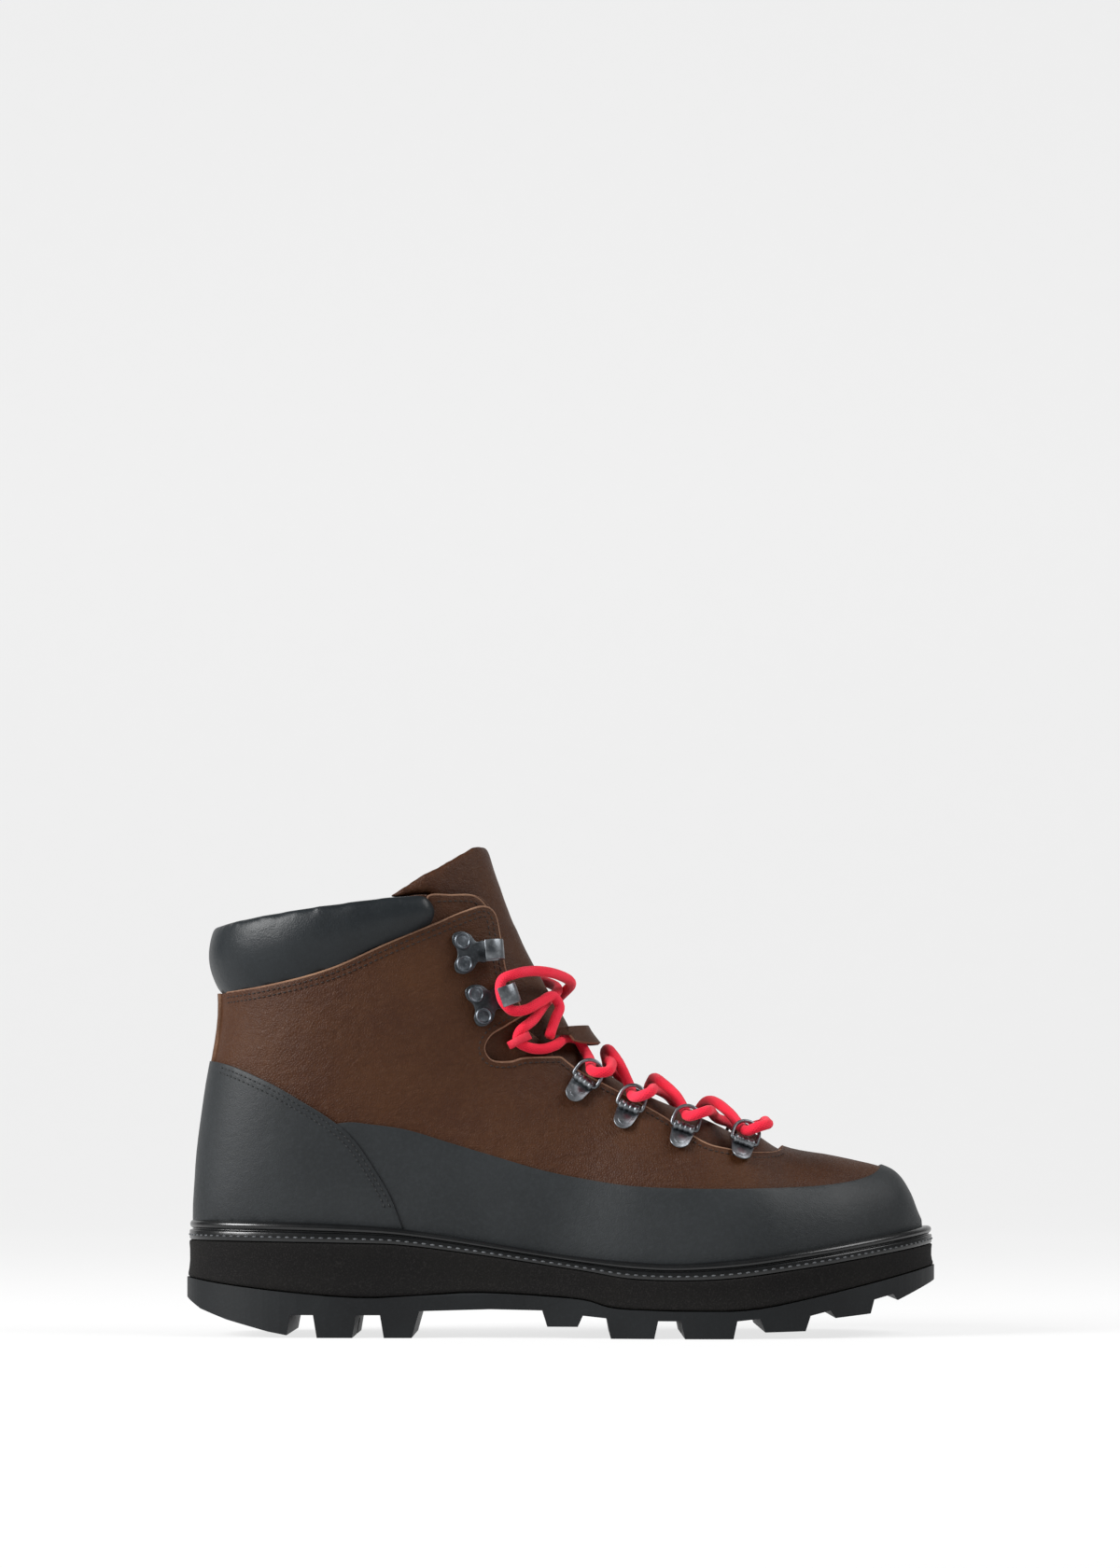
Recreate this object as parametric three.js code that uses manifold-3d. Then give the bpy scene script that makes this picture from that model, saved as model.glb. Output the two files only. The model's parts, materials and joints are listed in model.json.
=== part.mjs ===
// A right hiking boot: stitched-down sole, leather upper, tongue, lace hardware and lace.
// Millimetres. +X to the toe, +Y to the inner side of the foot, +Z up, z = 0 on the ground.
import * as THREE from 'three';
import { mergeVertices } from 'three/addons/utils/BufferGeometryUtils.js';
import Module from 'manifold-3d';

const wasm = await Module();
wasm.setup();

// ---- Driving dimensions ----
const soleLength = 305; // outsole, heel to toe
const soleWidth = 112; // outsole across the ball
const bootHeight = 174; // collar top above the ground
const gap = 0.3; // clearance kept between touching pieces
const leather = 2.0; // upper leather
const overlay = 1.6; // heel cap, toe rand and back strip
const stiffener = 1.3; // heel counter and toe puff
const liningWall = 1.3;
const collarBulge = 2.0; // how far the padded collar stands out
const collarPadding = 8.0; // collar thickness
const tonguePadding = 5.0;
const boardWall = 2.2; // insole board
const corkWall = 2.2;
const footbedWall = 4.0;
const weltReach = 5.0; // welt beyond the upper
const midsoleReach = 5.5;
const outsoleReach = 6.0;
const clipSheet = 0.8; // sheet metal of a ring clip
const clipWidth = 9.5;
const clipLength = 10;
const ringWire = 1.5;
const ringInner = 9.0; // clear width inside a wire ring
const ringHeight = 9.0; // bar to arc, wire centres
const ringLean = 32; // degrees off the leather
const hookSheet = 1.2;
const hookWidth = 8;
const rivetDiameter = 7.0;
const laceDiameter = 4.0;
const tongueDrop = 4.4; // tongue face below the inside of the upper

const stretchX = soleLength / 305;
const stretchY = soleWidth / 112;
const stretchZ = bootHeight / 174;
const at = (x, z) => [x * stretchX, z * stretchZ];

// ---- Outlines seen from the side, [x, z] ----
const creaseLine = [[-170, 48], [-146, 47.5], [-105, 46.5], [-65, 44], [-15, 36], [6, 33], [28, 31], [45, 30.4],
  [71, 32.4], [92, 35.4], [114, 39], [143, 44.2], [170, 50]];
const weltLine = [[-170, 38.4], [-150, 38], [-83, 37], [-62, 36], [-31, 32], [6, 26.4], [28, 23], [60, 23],
  [92, 27], [120, 31.5], [146, 36], [170, 41]];
const midsoleLine = [[-170, 25], [-152, 23.5], [-135, 21], [-109, 18], [-83, 16], [-62, 16.5], [-41, 18],
  [-21, 17.6], [6, 15.5], [20, 12], [49, 11], [76, 12], [114, 20], [150, 28.5], [170, 33]];

// Plan of the upper where it meets the welt, heel round to the outer side and on to the toe.
const footprint = [[-147, 0], [-141.5, -18], [-125, -30], [-98, -35.5], [-60, -36.5], [-20, -38], [20, -44],
  [55, -48.5], [85, -46], [110, -36.5], [130, -20], [140.5, -4], [143.3, 9], [140, 22], [128, 34.5],
  [108, 43.5], [82, 47.5], [55, 46.5], [25, 41], [0, 34], [-30, 30], [-60, 30], [-95, 33], [-125, 29.5],
  [-141.5, 18]];

// Stations of the last, toe to ankle: front point, far point, centre y, half width, fullness.
const toeStations = [[142.9, 46], [141.6, 49.5], [139, 56.5], [134.5, 63.5], [128.5, 67.2], [117, 70.2], [106, 72.6]];
const toeFar = [38, 31, 22, 13, 5, -2, -8]; // far heights that keep the widest part at the welt
const ankleStations = [
  { front: [88, 76], far: [88, -14], fullness: 2.25 },
  { front: [74, 84.5], far: [70, -18], fullness: 2.2 },
  { front: [56, 93], far: [48, -20], fullness: 2.15 },
  { front: [36, 101.5], far: [18, -20], fullness: 2.15 },
  { front: [20, 110], far: [-18, -20], y: -3, half: 36, fullness: 2.2 },
  { front: [11, 119], far: [-55, -19], y: -2.5, half: 34.5, fullness: 2.3 },
  { front: [6, 127.5], far: [-95, -14], y: -1.5, half: 34.5, fullness: 2.4 },
  { front: [1.5, 136], far: [-131, 4], y: 0, half: 35.5, fullness: 2.5 },
  { front: [-3, 144.5], far: [-147.5, 36], y: 0, half: 36.5, fullness: 2.45 },
  { front: [-7.5, 152], far: [-148.2, 66], y: 0, half: 37.5, fullness: 2.4 },
  { front: [-11.5, 160], far: [-144.5, 97], y: 0, half: 38, fullness: 2.35 },
  { front: [-16, 170], far: [-139.5, 128], y: 0, half: 38.5, fullness: 2.3 },
  { front: [-21, 184], far: [-140.5, 155], y: 0, half: 40, fullness: 2.3 },
  { front: [-27, 203], far: [-140, 178], y: 0, half: 41, fullness: 2.3 },
  { front: [-31, 222], far: [-140, 202], y: 0, half: 41.5, fullness: 2.3 },
];

// ---- Geometry helpers ----
function solidFrom(geometry) {
  const plain = geometry.clone();
  for (const extra of ['normal', 'uv']) plain.deleteAttribute(extra);
  const merged = mergeVertices(plain, 1e-4);
  return new wasm.Manifold(new wasm.Mesh({
    numProp: 3,
    vertProperties: new Float32Array(merged.attributes.position.array),
    triVerts: new Uint32Array(merged.index.array),
  }));
}

function addPiece(name, solid, finish, parent) {
  const mesh = solid.getMesh();
  const geometry = new THREE.BufferGeometry();
  geometry.setAttribute('position', new THREE.BufferAttribute(new Float32Array(mesh.vertProperties), 3));
  geometry.setIndex(new THREE.BufferAttribute(new Uint32Array(mesh.triVerts), 1));
  geometry.computeVertexNormals();
  const piece = new THREE.Mesh(geometry, finish);
  piece.name = name;
  (parent ?? boot).add(piece);
  return piece;
}

// Catmull-Rom value of one channel of a list at a fractional index.
function blend(list, place) {
  const i = Math.min(Math.floor(place), list.length - 2);
  const t = place - i;
  const [a, b, c, d] = [Math.max(i - 1, 0), i, i + 1, Math.min(i + 2, list.length - 1)].map((k) => list[k]);
  return b + 0.5 * t * (c - a + t * (2 * a - 5 * b + 4 * c - d + t * (3 * (b - c) + d - a)));
}

function heightAt(line, x) {
  let i = 0;
  while (i < line.length - 2 && line[i + 1][0] < x) i += 1;
  const [[x0, z0], [x1, z1]] = [line[i], line[i + 1]];
  return z0 + ((z1 - z0) * (x - x0)) / (x1 - x0);
}

// Smooth open or closed curve through side or plan points.
function smooth(points, steps, closed = false) {
  const curve = new THREE.CatmullRomCurve3(points.map(([a, b]) => new THREE.Vector3(a, b, 0)), closed, 'centripetal');
  const list = curve.getPoints(steps).map((p) => [p.x, p.y]);
  return closed ? list.slice(0, -1) : list;
}

// Closed outline moved outward along its normals.
function grown(outline, margin) {
  const area = THREE.ShapeUtils.area(outline.map(([x, y]) => new THREE.Vector2(x, y)));
  const turn = Math.sign(area);
  return outline.map(([x, y], i) => {
    const [ax, ay] = outline[(i + outline.length - 1) % outline.length];
    const [bx, by] = outline[(i + 1) % outline.length];
    const length = Math.hypot(bx - ax, by - ay);
    return [x + (turn * margin * (by - ay)) / length, y - (turn * margin * (bx - ax)) / length];
  });
}

function shapeOf(outline) {
  return new THREE.Shape(outline.map(([a, b]) => new THREE.Vector2(a, b)));
}

// Prism across the boot under a side outline, from one y to another.
function sidePrism(outline, yFrom = -120, yTo = 120) {
  const geometry = new THREE.ExtrudeGeometry(shapeOf(outline), { depth: yTo - yFrom, bevelEnabled: false });
  geometry.rotateX(Math.PI / 2);
  geometry.translate(0, yTo, 0);
  return solidFrom(geometry);
}

function planPrism(outline, zFrom, zTo) {
  const geometry = new THREE.ExtrudeGeometry(shapeOf(outline), { depth: zTo - zFrom, bevelEnabled: false });
  geometry.translate(0, 0, zFrom);
  return solidFrom(geometry);
}

const sideOutline = (points) => points.map(([x, z]) => at(x, z));

// Prism between two side lines, each raised by its own amount.
function band(lower, lowerRise, upper, upperRise) {
  const xs = Array.from({ length: 26 }, (_, i) => -170 + i * 13.6);
  const low = xs.map((x) => [x * stretchX, heightAt(lower, x) * stretchZ + lowerRise]);
  const high = xs.map((x) => [x * stretchX, heightAt(upper, x) * stretchZ + upperRise]);
  return sidePrism([...low, ...high.reverse()]);
}

const footOutline = smooth(footprint, 38, true).map(([x, y]) => [x * stretchX, y * stretchY]);

// Outer and inner side of the footprint at a given x.
function spanAt(x) {
  const found = [];
  const line = smooth(footprint, 200, true);
  line.forEach(([x0, y0], i) => {
    const [x1, y1] = line[(i + 1) % line.length];
    if ((x0 - x) * (x1 - x) <= 0 && x0 !== x1) found.push(y0 + ((y1 - y0) * (x - x0)) / (x1 - x0));
  });
  return [Math.min(...found), Math.max(...found)];
}

function footStation(front, far, fullness) {
  const [low, high] = spanAt(Math.min((front[0] + far[0]) / 2, 142.8));
  return { front, far, y: (low + high) / 2, half: (high - low) / 2, fullness };
}

const stations = [
  ...toeStations.map(([x, z], i) => footStation([x, z], [x, toeFar[i]], 2.35)),
  ...ankleStations.map((s) => (s.half ? s : footStation(s.front, s.far, s.fullness))),
];

const channels = ['frontX', 'frontZ', 'farX', 'farZ', 'y', 'half', 'fullness'];
const tracks = Object.fromEntries(channels.map((c) => [c, stations.map((s) => ({
  frontX: s.front[0] * stretchX, frontZ: s.front[1] * stretchZ,
  farX: s.far[0] * stretchX, farZ: s.far[1] * stretchZ,
  y: s.y * stretchY, half: s.half * stretchY, fullness: s.fullness })[c])]));

// The boot's form as one closed solid, drawn in by an inset all round.
const ringsAlong = 24;
const pointsRound = 24;
function formGeometry(inset) {
  const vertices = [];
  const indices = [];
  const last = stations.length - 1;
  for (let i = 0; i <= ringsAlong; i += 1) {
    const place = (i / ringsAlong) * last;
    const v = Object.fromEntries(channels.map((c) => [c, blend(tracks[c], place)]));
    const toeward = Math.max(0, 1 - place / 5) ** 1.5;
    const shift = -inset * toeward;
    const [cx, cz] = [(v.frontX + v.farX) / 2 + shift, (v.frontZ + v.farZ) / 2];
    const [dx, dz] = [(v.frontX - v.farX) / 2, (v.frontZ - v.farZ) / 2];
    const reach = Math.hypot(dx, dz);
    const draw = inset * (1 - 0.35 * toeward);
    const along = (reach - draw) / reach;
    const half = v.half - draw;
    for (let k = 0; k < pointsRound; k += 1) {
      const angle = (k / pointsRound) * 2 * Math.PI;
      const [c, s] = [Math.cos(angle), Math.sin(angle)];
      const power = 2 / v.fullness;
      const forward = Math.sign(c) * Math.abs(c) ** power * along;
      const aside = Math.sign(s) * Math.abs(s) ** power * half;
      vertices.push(cx + dx * forward, v.y + aside, cz + dz * forward);
    }
  }
  const ringStart = (i) => i * pointsRound;
  for (let i = 0; i < ringsAlong; i += 1) {
    for (let k = 0; k < pointsRound; k += 1) {
      const next = (k + 1) % pointsRound;
      const [a, b, c, d] = [ringStart(i) + k, ringStart(i) + next, ringStart(i + 1) + next, ringStart(i + 1) + k];
      indices.push(a, b, c, a, c, d);
    }
  }
  for (const [ring, flip] of [[0, true], [ringsAlong, false]]) {
    const centre = vertices.length / 3;
    const ids = Array.from({ length: pointsRound }, (_, k) => ringStart(ring) + k);
    const mean = [0, 1, 2].map((axis) => ids.reduce((sum, id) => sum + vertices[id * 3 + axis], 0) / pointsRound);
    vertices.push(...mean);
    ids.forEach((id, k) => {
      const next = ids[(k + 1) % pointsRound];
      indices.push(...(flip ? [centre, next, id] : [centre, id, next]));
    });
  }
  const geometry = new THREE.BufferGeometry();
  geometry.setAttribute('position', new THREE.Float32BufferAttribute(vertices, 3));
  geometry.setIndex(indices);
  return geometry;
}

const formCache = new Map();
function form(inset) {
  const key = inset.toFixed(3);
  if (!formCache.has(key)) formCache.set(key, solidFrom(formGeometry(inset)));
  return formCache.get(key);
}

// A wall of the form between two insets, cut by a prism.
const shell = (outer, inner, region) => form(outer).subtract(form(inner)).intersect(region);

// Point and outward normal on the form's outer (-1) or inner (1) side above a side-view place.
const skin = new THREE.Mesh(formGeometry(0), new THREE.MeshBasicMaterial({ side: THREE.DoubleSide }));
function skinY(x, z, side) {
  const ray = new THREE.Raycaster(new THREE.Vector3(x, side * 300, z), new THREE.Vector3(0, -side, 0));
  return ray.intersectObject(skin)[0].point.y;
}

function skinFrame(x, z, side, along) {
  const h = 2;
  const slopeX = (skinY(x + h, z, side) - skinY(x - h, z, side)) / (2 * h);
  const slopeZ = (skinY(x, z + h, side) - skinY(x, z - h, side)) / (2 * h);
  const normal = new THREE.Vector3(-slopeX, 1, -slopeZ).multiplyScalar(side).normalize();
  const tangent = new THREE.Vector3(along[0], 0, along[1]);
  tangent.addScaledVector(normal, -tangent.dot(normal)).normalize();
  const up = new THREE.Vector3().crossVectors(normal, tangent);
  return { point: new THREE.Vector3(x, skinY(x, z, side), z), normal, tangent, up };
}

function finish(color, roughness, metalness = 0) {
  return new THREE.MeshStandardMaterial({ color, roughness, metalness });
}

const brownLeather = finish('#3d2617', 0.7);
const charcoalLeather = finish('#3d3f41', 0.75);
const collarLeather = finish('#3c3f40', 0.45);
const liningCloth = finish('#2a2b2c', 0.9);
const blackRubber = finish('#2f3133', 0.8);
const midsoleFoam = finish('#262320', 0.85);
const weltRubber = finish('#17181a', 0.3);
const gunmetal = finish('#5a5d60', 0.35, 1);
const blackPlate = finish('#222324', 0.4, 0.8);
const redTextile = finish('#d0102f', 0.8);
const corkBoard = finish('#a9825a', 0.9);
const steelStrip = finish('#8e9296', 0.4, 1);
const boot = new THREE.Group();

// ---- Sole unit ----
const heelBreast = -61;
const soleUnder = [
  [-153, 15.5], [-146, 11], [-135, 7], [-118, 2.4], [-110.5, 1], [-109, 9], [-100, 9], [-98.5, 0], [-84.5, 0],
  [-83, 9], [-73.5, 9], [-72, 0], [heelBreast, 0], [-58, 10.6], [-30, 11.4], [-9.5, 11], [-7.5, 4.6], [4.5, 4.6],
  [6.5, 9], [16, 8], [17.5, 0], [34.5, 0], [36, 7], [45, 7], [46.5, 0], [65.5, 0], [67, 7], [76, 8], [78, 2.6],
  [94, 3], [96, 9], [104, 11], [106, 8], [120.5, 9.5], [122, 15], [130, 17], [132, 14.5], [150, 22.5],
];

function addOutsole() {
  const under = [[-170, 15.5], ...soleUnder, [170, 22.5], [170, 60], [-170, 60]];
  const profile = sidePrism(sideOutline(under)).intersect(band([[-170, -20], [170, -20]], 0, midsoleLine, -gap));
  const plan = planPrism(grown(footOutline, outsoleReach), -5, 60);
  const grooveWidth = 9;
  const groove = [[-98, 0], [-61, 0], [-61, 6.5], [-98, 6.5]];
  const forward = [[17, 0], [66, 0], [66, 5], [17, 5]];
  let solid = profile.intersect(plan);
  for (const cut of [groove, forward]) {
    const box = cut.map(([x, z]) => [x, z < 1 ? -2 : z]);
    solid = solid.subtract(sidePrism(sideOutline(box), -grooveWidth / 2, grooveWidth / 2));
  }
  addPiece('outsole', solid, blackRubber);
}

function addMidsole() {
  const plan = planPrism(grown(footOutline, midsoleReach), -5, 80);
  addPiece('midsole', band(midsoleLine, 0, weltLine, 0).intersect(plan), midsoleFoam);
}

function addWelt() {
  const plan = planPrism(grown(footOutline, weltReach), 0, 90);
  const strip = band(weltLine, gap, creaseLine, -1.5).intersect(plan);
  addPiece('welt', strip.subtract(form(-gap)), weltRubber);
}

const shankHalf = 8;
const shankWall = 1.2;
function addInside() {
  const inside = form(leather + gap);
  const corkTop = gap + corkWall;
  const boardTop = corkTop + gap + boardWall;
  const strap = (lower, upper, grow) => {
    const long = sidePrism(sideOutline([[-92, 0], [18, 0], [18, 80], [-92, 80]]), -shankHalf - grow, shankHalf + grow);
    return band(weltLine, lower, weltLine, upper).intersect(long);
  };
  const slot = sidePrism(sideOutline([[-92.5, 0], [18.5, 0], [18.5, 80], [-92.5, 80]]), -shankHalf - gap, shankHalf + gap)
    .intersect(band(weltLine, -2, weltLine, gap + shankWall + gap));
  addPiece('cork_filler', inside.intersect(band(weltLine, gap, weltLine, corkTop)).subtract(slot), corkBoard);
  addPiece('shank', strap(gap, gap + shankWall, 0), steelStrip);
  addPiece('insole_board', inside.intersect(band(weltLine, corkTop + gap, weltLine, boardTop)), corkBoard);
  const liningInset = leather + gap + stiffener + gap;
  const bedFloor = boardTop + gap;
  addPiece('footbed', form(liningInset + liningWall + gap)
    .intersect(band(weltLine, bedFloor, weltLine, bedFloor + footbedWall)), liningCloth);
  return { liningInset, bedFloor };
}

// ---- Upper ----
const collarUnder = [[-160, 137.5], [-138.6, 137], [-118, 139.5], [-94, 145.5], [-70, 156], [-52, 163.5]];
const collarTop = [[-56, 175], [-75, 173.2], [-110, 168.5], [-135.5, 164.5], [-160, 161]];
const quarterEdge = [[-52, 163.5], [-40, 169], [-32.5, 171.2], [-27.6, 167.7], [-25.7, 157.3], [-23.7, 144.4],
  [-16.8, 128.2]];
const notchEdge = [[-23.9, 123.8], [-29.9, 120], [-32.3, 115], [-30.2, 109.9], [-21.9, 109.4], [-18, 110.7],
  [-2, 111.2]];
const throatEdge = [[16, 100], [36.7, 88.7], [53.5, 77.5], [63, 74.9], [75.7, 73.4], [85.2, 74.5], [88, 77.5]];
const upperOutline = [...collarUnder, ...quarterEdge.slice(1), ...notchEdge, ...throatEdge,
  [100, 90], [170, 90], [170, 0], [-170, 0]];
const capEdge = [[-170, 112], [-141, 109.7], [-120, 101.7], [-104, 92.8], [-92.5, 85.6], [-84.2, 78.3],
  [-76, 66.4], [-69.7, 55.5], [-64, 41], [-64, 20], [-170, 20]];
const randEdge = [[-110, 79], [-89.4, 84.8], [-76.9, 84.2], [-62.4, 82], [-46.9, 77.3], [-26, 71], [-10.6, 66.5],
  [6, 63], [28, 59.8], [60, 58.9], [92.5, 59.6], [112, 61.6], [123.4, 65], [131, 71], [170, 80], [170, 20],
  [-110, 20]];

const upperRegion = () => sidePrism(sideOutline(upperOutline));
const aboveWelt = (rise) => band(weltLine, rise, [[-170, 240], [170, 240]], 0);

// The inner quarter is sewn on at the heel, under the back strip, and at a seam ahead of the ankle.
const quarterSeam = -2;
const heelSeam = 0;
function quarterPrism(grow) {
  const front = quarterSeam * stretchX + grow;
  return sidePrism([[-400, -10], [front, -10], [front, 400], [-400, 400]], heelSeam - grow, 120);
}

function addUpper() {
  const wall = shell(0, leather, upperRegion().intersect(aboveWelt(gap)));
  addPiece('upper', wall.subtract(quarterPrism(gap)), brownLeather);
  addPiece('inner_quarter', wall.intersect(quarterPrism(0)), brownLeather);
  const cap = sidePrism(sideOutline(capEdge));
  const overWelt = band(creaseLine, -1.5 + gap, [[-170, 240], [170, 240]], 0);
  addPiece('heel_cap', shell(-gap - overlay, -gap, cap.intersect(overWelt)), charcoalLeather);
  const capClear = sidePrism(grown(sideOutline(capEdge), gap));
  const rand = sidePrism(sideOutline(randEdge)).intersect(overWelt).subtract(capClear);
  addPiece('toe_rand', shell(-gap - overlay, -gap, rand), charcoalLeather);
  const strip = sidePrism(sideOutline([[-170, 112.4], [-100, 112.4], [-100, 136], [-170, 136]]), -9, 9);
  addPiece('back_strip', shell(-gap - overlay, -gap, strip), brownLeather);
}

const collarOutline = sideOutline([...collarUnder.map(([x, z]) => [x, z + gap * 1.5]), ...collarTop]);
function addCollar() {
  const pad = sidePrism(collarOutline);
  addPiece('collar_pad', shell(-collarBulge, collarPadding - collarBulge, pad), collarLeather);
}

// ---- Tongue: a padded wall inside the quarters, in an upper and a lower piece ----
const tongueBack = [[-72, 173], [-46, 150], [-35, 128], [-30, 104], [-8, 94], [30, 78], [56, 66], [84, 64],
  [89, 66]];
const collarClearance = 1.5;

function tongueRegion(grow) {
  const outline = [...tongueBack, [89, 120], [40, 150], [10, 190], [-20, 230], [-76, 230]];
  return sidePrism(grown(sideOutline(outline), grow));
}

function addTongue() {
  const outer = leather + gap + tongueDrop;
  const wall = shell(outer, outer + tonguePadding, tongueRegion(0))
    .subtract(sidePrism(grown(collarOutline, collarClearance)));
  const split = [[-80, 127], [-26, 127], [30, 131], [30, 240], [-80, 240]];
  const below = [[-80, 126.4], [-26, 126.4], [30, 130.4], [120, 140], [120, 40], [-80, 40]];
  const underTip = [[-80, 20], [-80, 171], [-38, 196], [-33, 197.2], [0, 196.8], [100, 160], [100, 20]];
  const top = wall.intersect(sidePrism(sideOutline(split))).intersect(sidePrism(sideOutline(underTip)));
  addPiece('tongue_top', top, brownLeather);
  addPiece('tongue_lower', wall.intersect(sidePrism(sideOutline(below))), brownLeather);
}

// The lining is two sewn pieces that meet at a seam across the waist.
const liningSeam = -42;
function addLining({ liningInset, bedFloor }) {
  const outline = [...collarUnder.map(([x, z]) => [x, z - gap]), [-47, 163], [-38, 155], [-30, 128], [-25, 104],
    [-8, 96], [30, 82], [60, 72], [86, 70], [96, 74], [100, 90], [170, 90], [170, 0], [-170, 0]];
  const region = sidePrism(sideOutline(outline)).subtract(tongueRegion(1.5)).intersect(aboveWelt(bedFloor));
  const sock = shell(liningInset, liningInset + liningWall, region);
  for (const [name, from, to] of [['lining_front', liningSeam, 170], ['lining_back', -170, liningSeam - gap]]) {
    const part = sidePrism(sideOutline([[from, 0], [to, 0], [to, 240], [from, 240]]));
    addPiece(name, sock.intersect(part), liningCloth);
  }
  const heel = [[-170, 20], [-70, 20], [-78, 60], [-96, 84], [-118, 96], [-170, 104]];
  const toe = [[98, 20], [170, 20], [170, 90], [112, 90]];
  for (const [name, edge] of [['heel_counter', heel], ['toe_puff', toe]]) {
    const where = sidePrism(sideOutline(edge)).intersect(aboveWelt(bedFloor));
    addPiece(name, shell(leather + gap, leather + gap + stiffener, where), corkBoard);
  }
}

// ---- Hardware, built in a frame lying on the leather: x along the edge, y to the edge, z outward ----
const sides = [['outer', -1], ['inner', 1]];

function placedOn([x, z], side, along, turn = 0) {
  const { point, normal, tangent, up } = skinFrame(x * stretchX, z * stretchZ, side, along);
  const holder = new THREE.Group();
  holder.matrix.makeBasis(tangent, up, normal);
  holder.matrix.setPosition(point);
  holder.matrix.decompose(holder.position, holder.quaternion, holder.scale);
  holder.rotateZ(turn);
  boot.add(holder);
  return holder;
}

function flatPlate(outline, from, thickness) {
  const geometry = new THREE.ExtrudeGeometry(shapeOf(outline), { depth: thickness, bevelEnabled: false });
  geometry.translate(0, 0, from);
  return solidFrom(geometry);
}

// Rod or tube lying along x at a height, with its two ends at plus and minus half the length.
function rodAlongX(radius, length, y, z, segments = 10) {
  const geometry = new THREE.CylinderGeometry(radius, radius, length, segments);
  geometry.rotateZ(Math.PI / 2);
  geometry.translate(0, y, z);
  return solidFrom(geometry);
}

function sweep(points, radius, sections, steps, closed = false) {
  const curve = new THREE.CatmullRomCurve3(points.map((p) => new THREE.Vector3(...p)), closed, 'centripetal');
  const section = new THREE.Shape();
  section.absarc(0, 0, radius, 0, 2 * Math.PI);
  const options = { steps, curveSegments: sections, bevelEnabled: false, extrudePath: curve };
  return solidFrom(new THREE.ExtrudeGeometry(section, options));
}

const plateLift = gap + 0.5; // sheet metal stands this far off the curved leather
const barrelBore = ringWire / 2 + 0.35;
const barrelOuter = barrelBore + clipSheet;
const barrelHeight = plateLift + barrelOuter;
const clips = [
  { at: [6.3, 100.6], slope: -37 },
  { at: [24.6, 89.6], slope: -26 },
  { at: [46.1, 81.4], slope: -21 },
  { at: [69.6, 75.7], slope: -13 },
];

function clipSolid() {
  const half = clipWidth / 2;
  const foot = Array.from({ length: 7 }, (_, i) => {
    const angle = Math.PI + (i * Math.PI) / 6;
    return [0.86 * half * Math.cos(angle), -clipLength + half + half * Math.sin(angle)];
  });
  const plate = flatPlate([[half, 0], [-half, 0], ...foot], plateLift, clipSheet);
  const barrel = rodAlongX(barrelOuter, clipWidth - 1, 0, barrelHeight);
  return plate.add(barrel).subtract(rodAlongX(barrelBore, clipWidth + 4, 0, barrelHeight));
}

function ringPath() {
  const half = (ringInner + ringWire) / 2;
  const lean = THREE.MathUtils.degToRad(ringLean);
  const flat = [[-half + 1, 0], [0, 0], [half - 1, 0], [half, 0.9]];
  for (let i = 0; i <= 8; i += 1) {
    const angle = (i * Math.PI) / 8;
    flat.push([half * Math.cos(angle), ringHeight - half + half * Math.sin(angle)]);
  }
  flat.push([-half, 0.9]);
  return flat.map(([x, y]) => [x, y * Math.cos(lean), barrelHeight + y * Math.sin(lean)]);
}

function addRingClips() {
  const clip = clipSolid();
  const ring = closedWire(ringPath(), ringWire / 2, 20, 5);
  for (const [label, side] of sides) {
    clips.forEach(({ at: place, slope }, i) => {
      const angle = THREE.MathUtils.degToRad(slope);
      const along = [-side * Math.cos(angle), -side * Math.sin(angle)];
      const holder = placedOn(place, side, along);
      addPiece(`ring_clip_${label}_${i + 1}`, clip, gunmetal, holder);
      addPiece(`lace_ring_${label}_${i + 1}`, ring, gunmetal, holder);
    });
  }
}

// Closed wire loop: a round section carried round a closed curve.
function closedWire(points, radius, steps, sections) {
  const curve = new THREE.CatmullRomCurve3(points.map((p) => new THREE.Vector3(...p)), true, 'centripetal');
  const frames = curve.computeFrenetFrames(steps, true);
  const vertices = [];
  const indices = [];
  for (let i = 0; i < steps; i += 1) {
    const centre = curve.getPointAt(i / steps);
    for (let k = 0; k < sections; k += 1) {
      const angle = (k / sections) * 2 * Math.PI;
      const p = centre.clone().addScaledVector(frames.normals[i], radius * Math.cos(angle))
        .addScaledVector(frames.binormals[i], radius * Math.sin(angle));
      vertices.push(p.x, p.y, p.z);
      const [i2, k2] = [(i + 1) % steps, (k + 1) % sections];
      const [a, b, c, d] = [i * sections + k, i * sections + k2, i2 * sections + k2, i2 * sections + k];
      indices.push(a, b, c, a, c, d);
    }
  }
  const geometry = new THREE.BufferGeometry();
  geometry.setAttribute('position', new THREE.Float32BufferAttribute(vertices, 3));
  geometry.setIndex(indices);
  return solidFrom(geometry);
}

const hooks = [
  { at: [-36.8, 152.6], slope: 94 },
  { at: [-30.5, 133.2], slope: 111 },
];
const rivetSpread = 4.6;
const rivetBack = -5;

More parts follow.
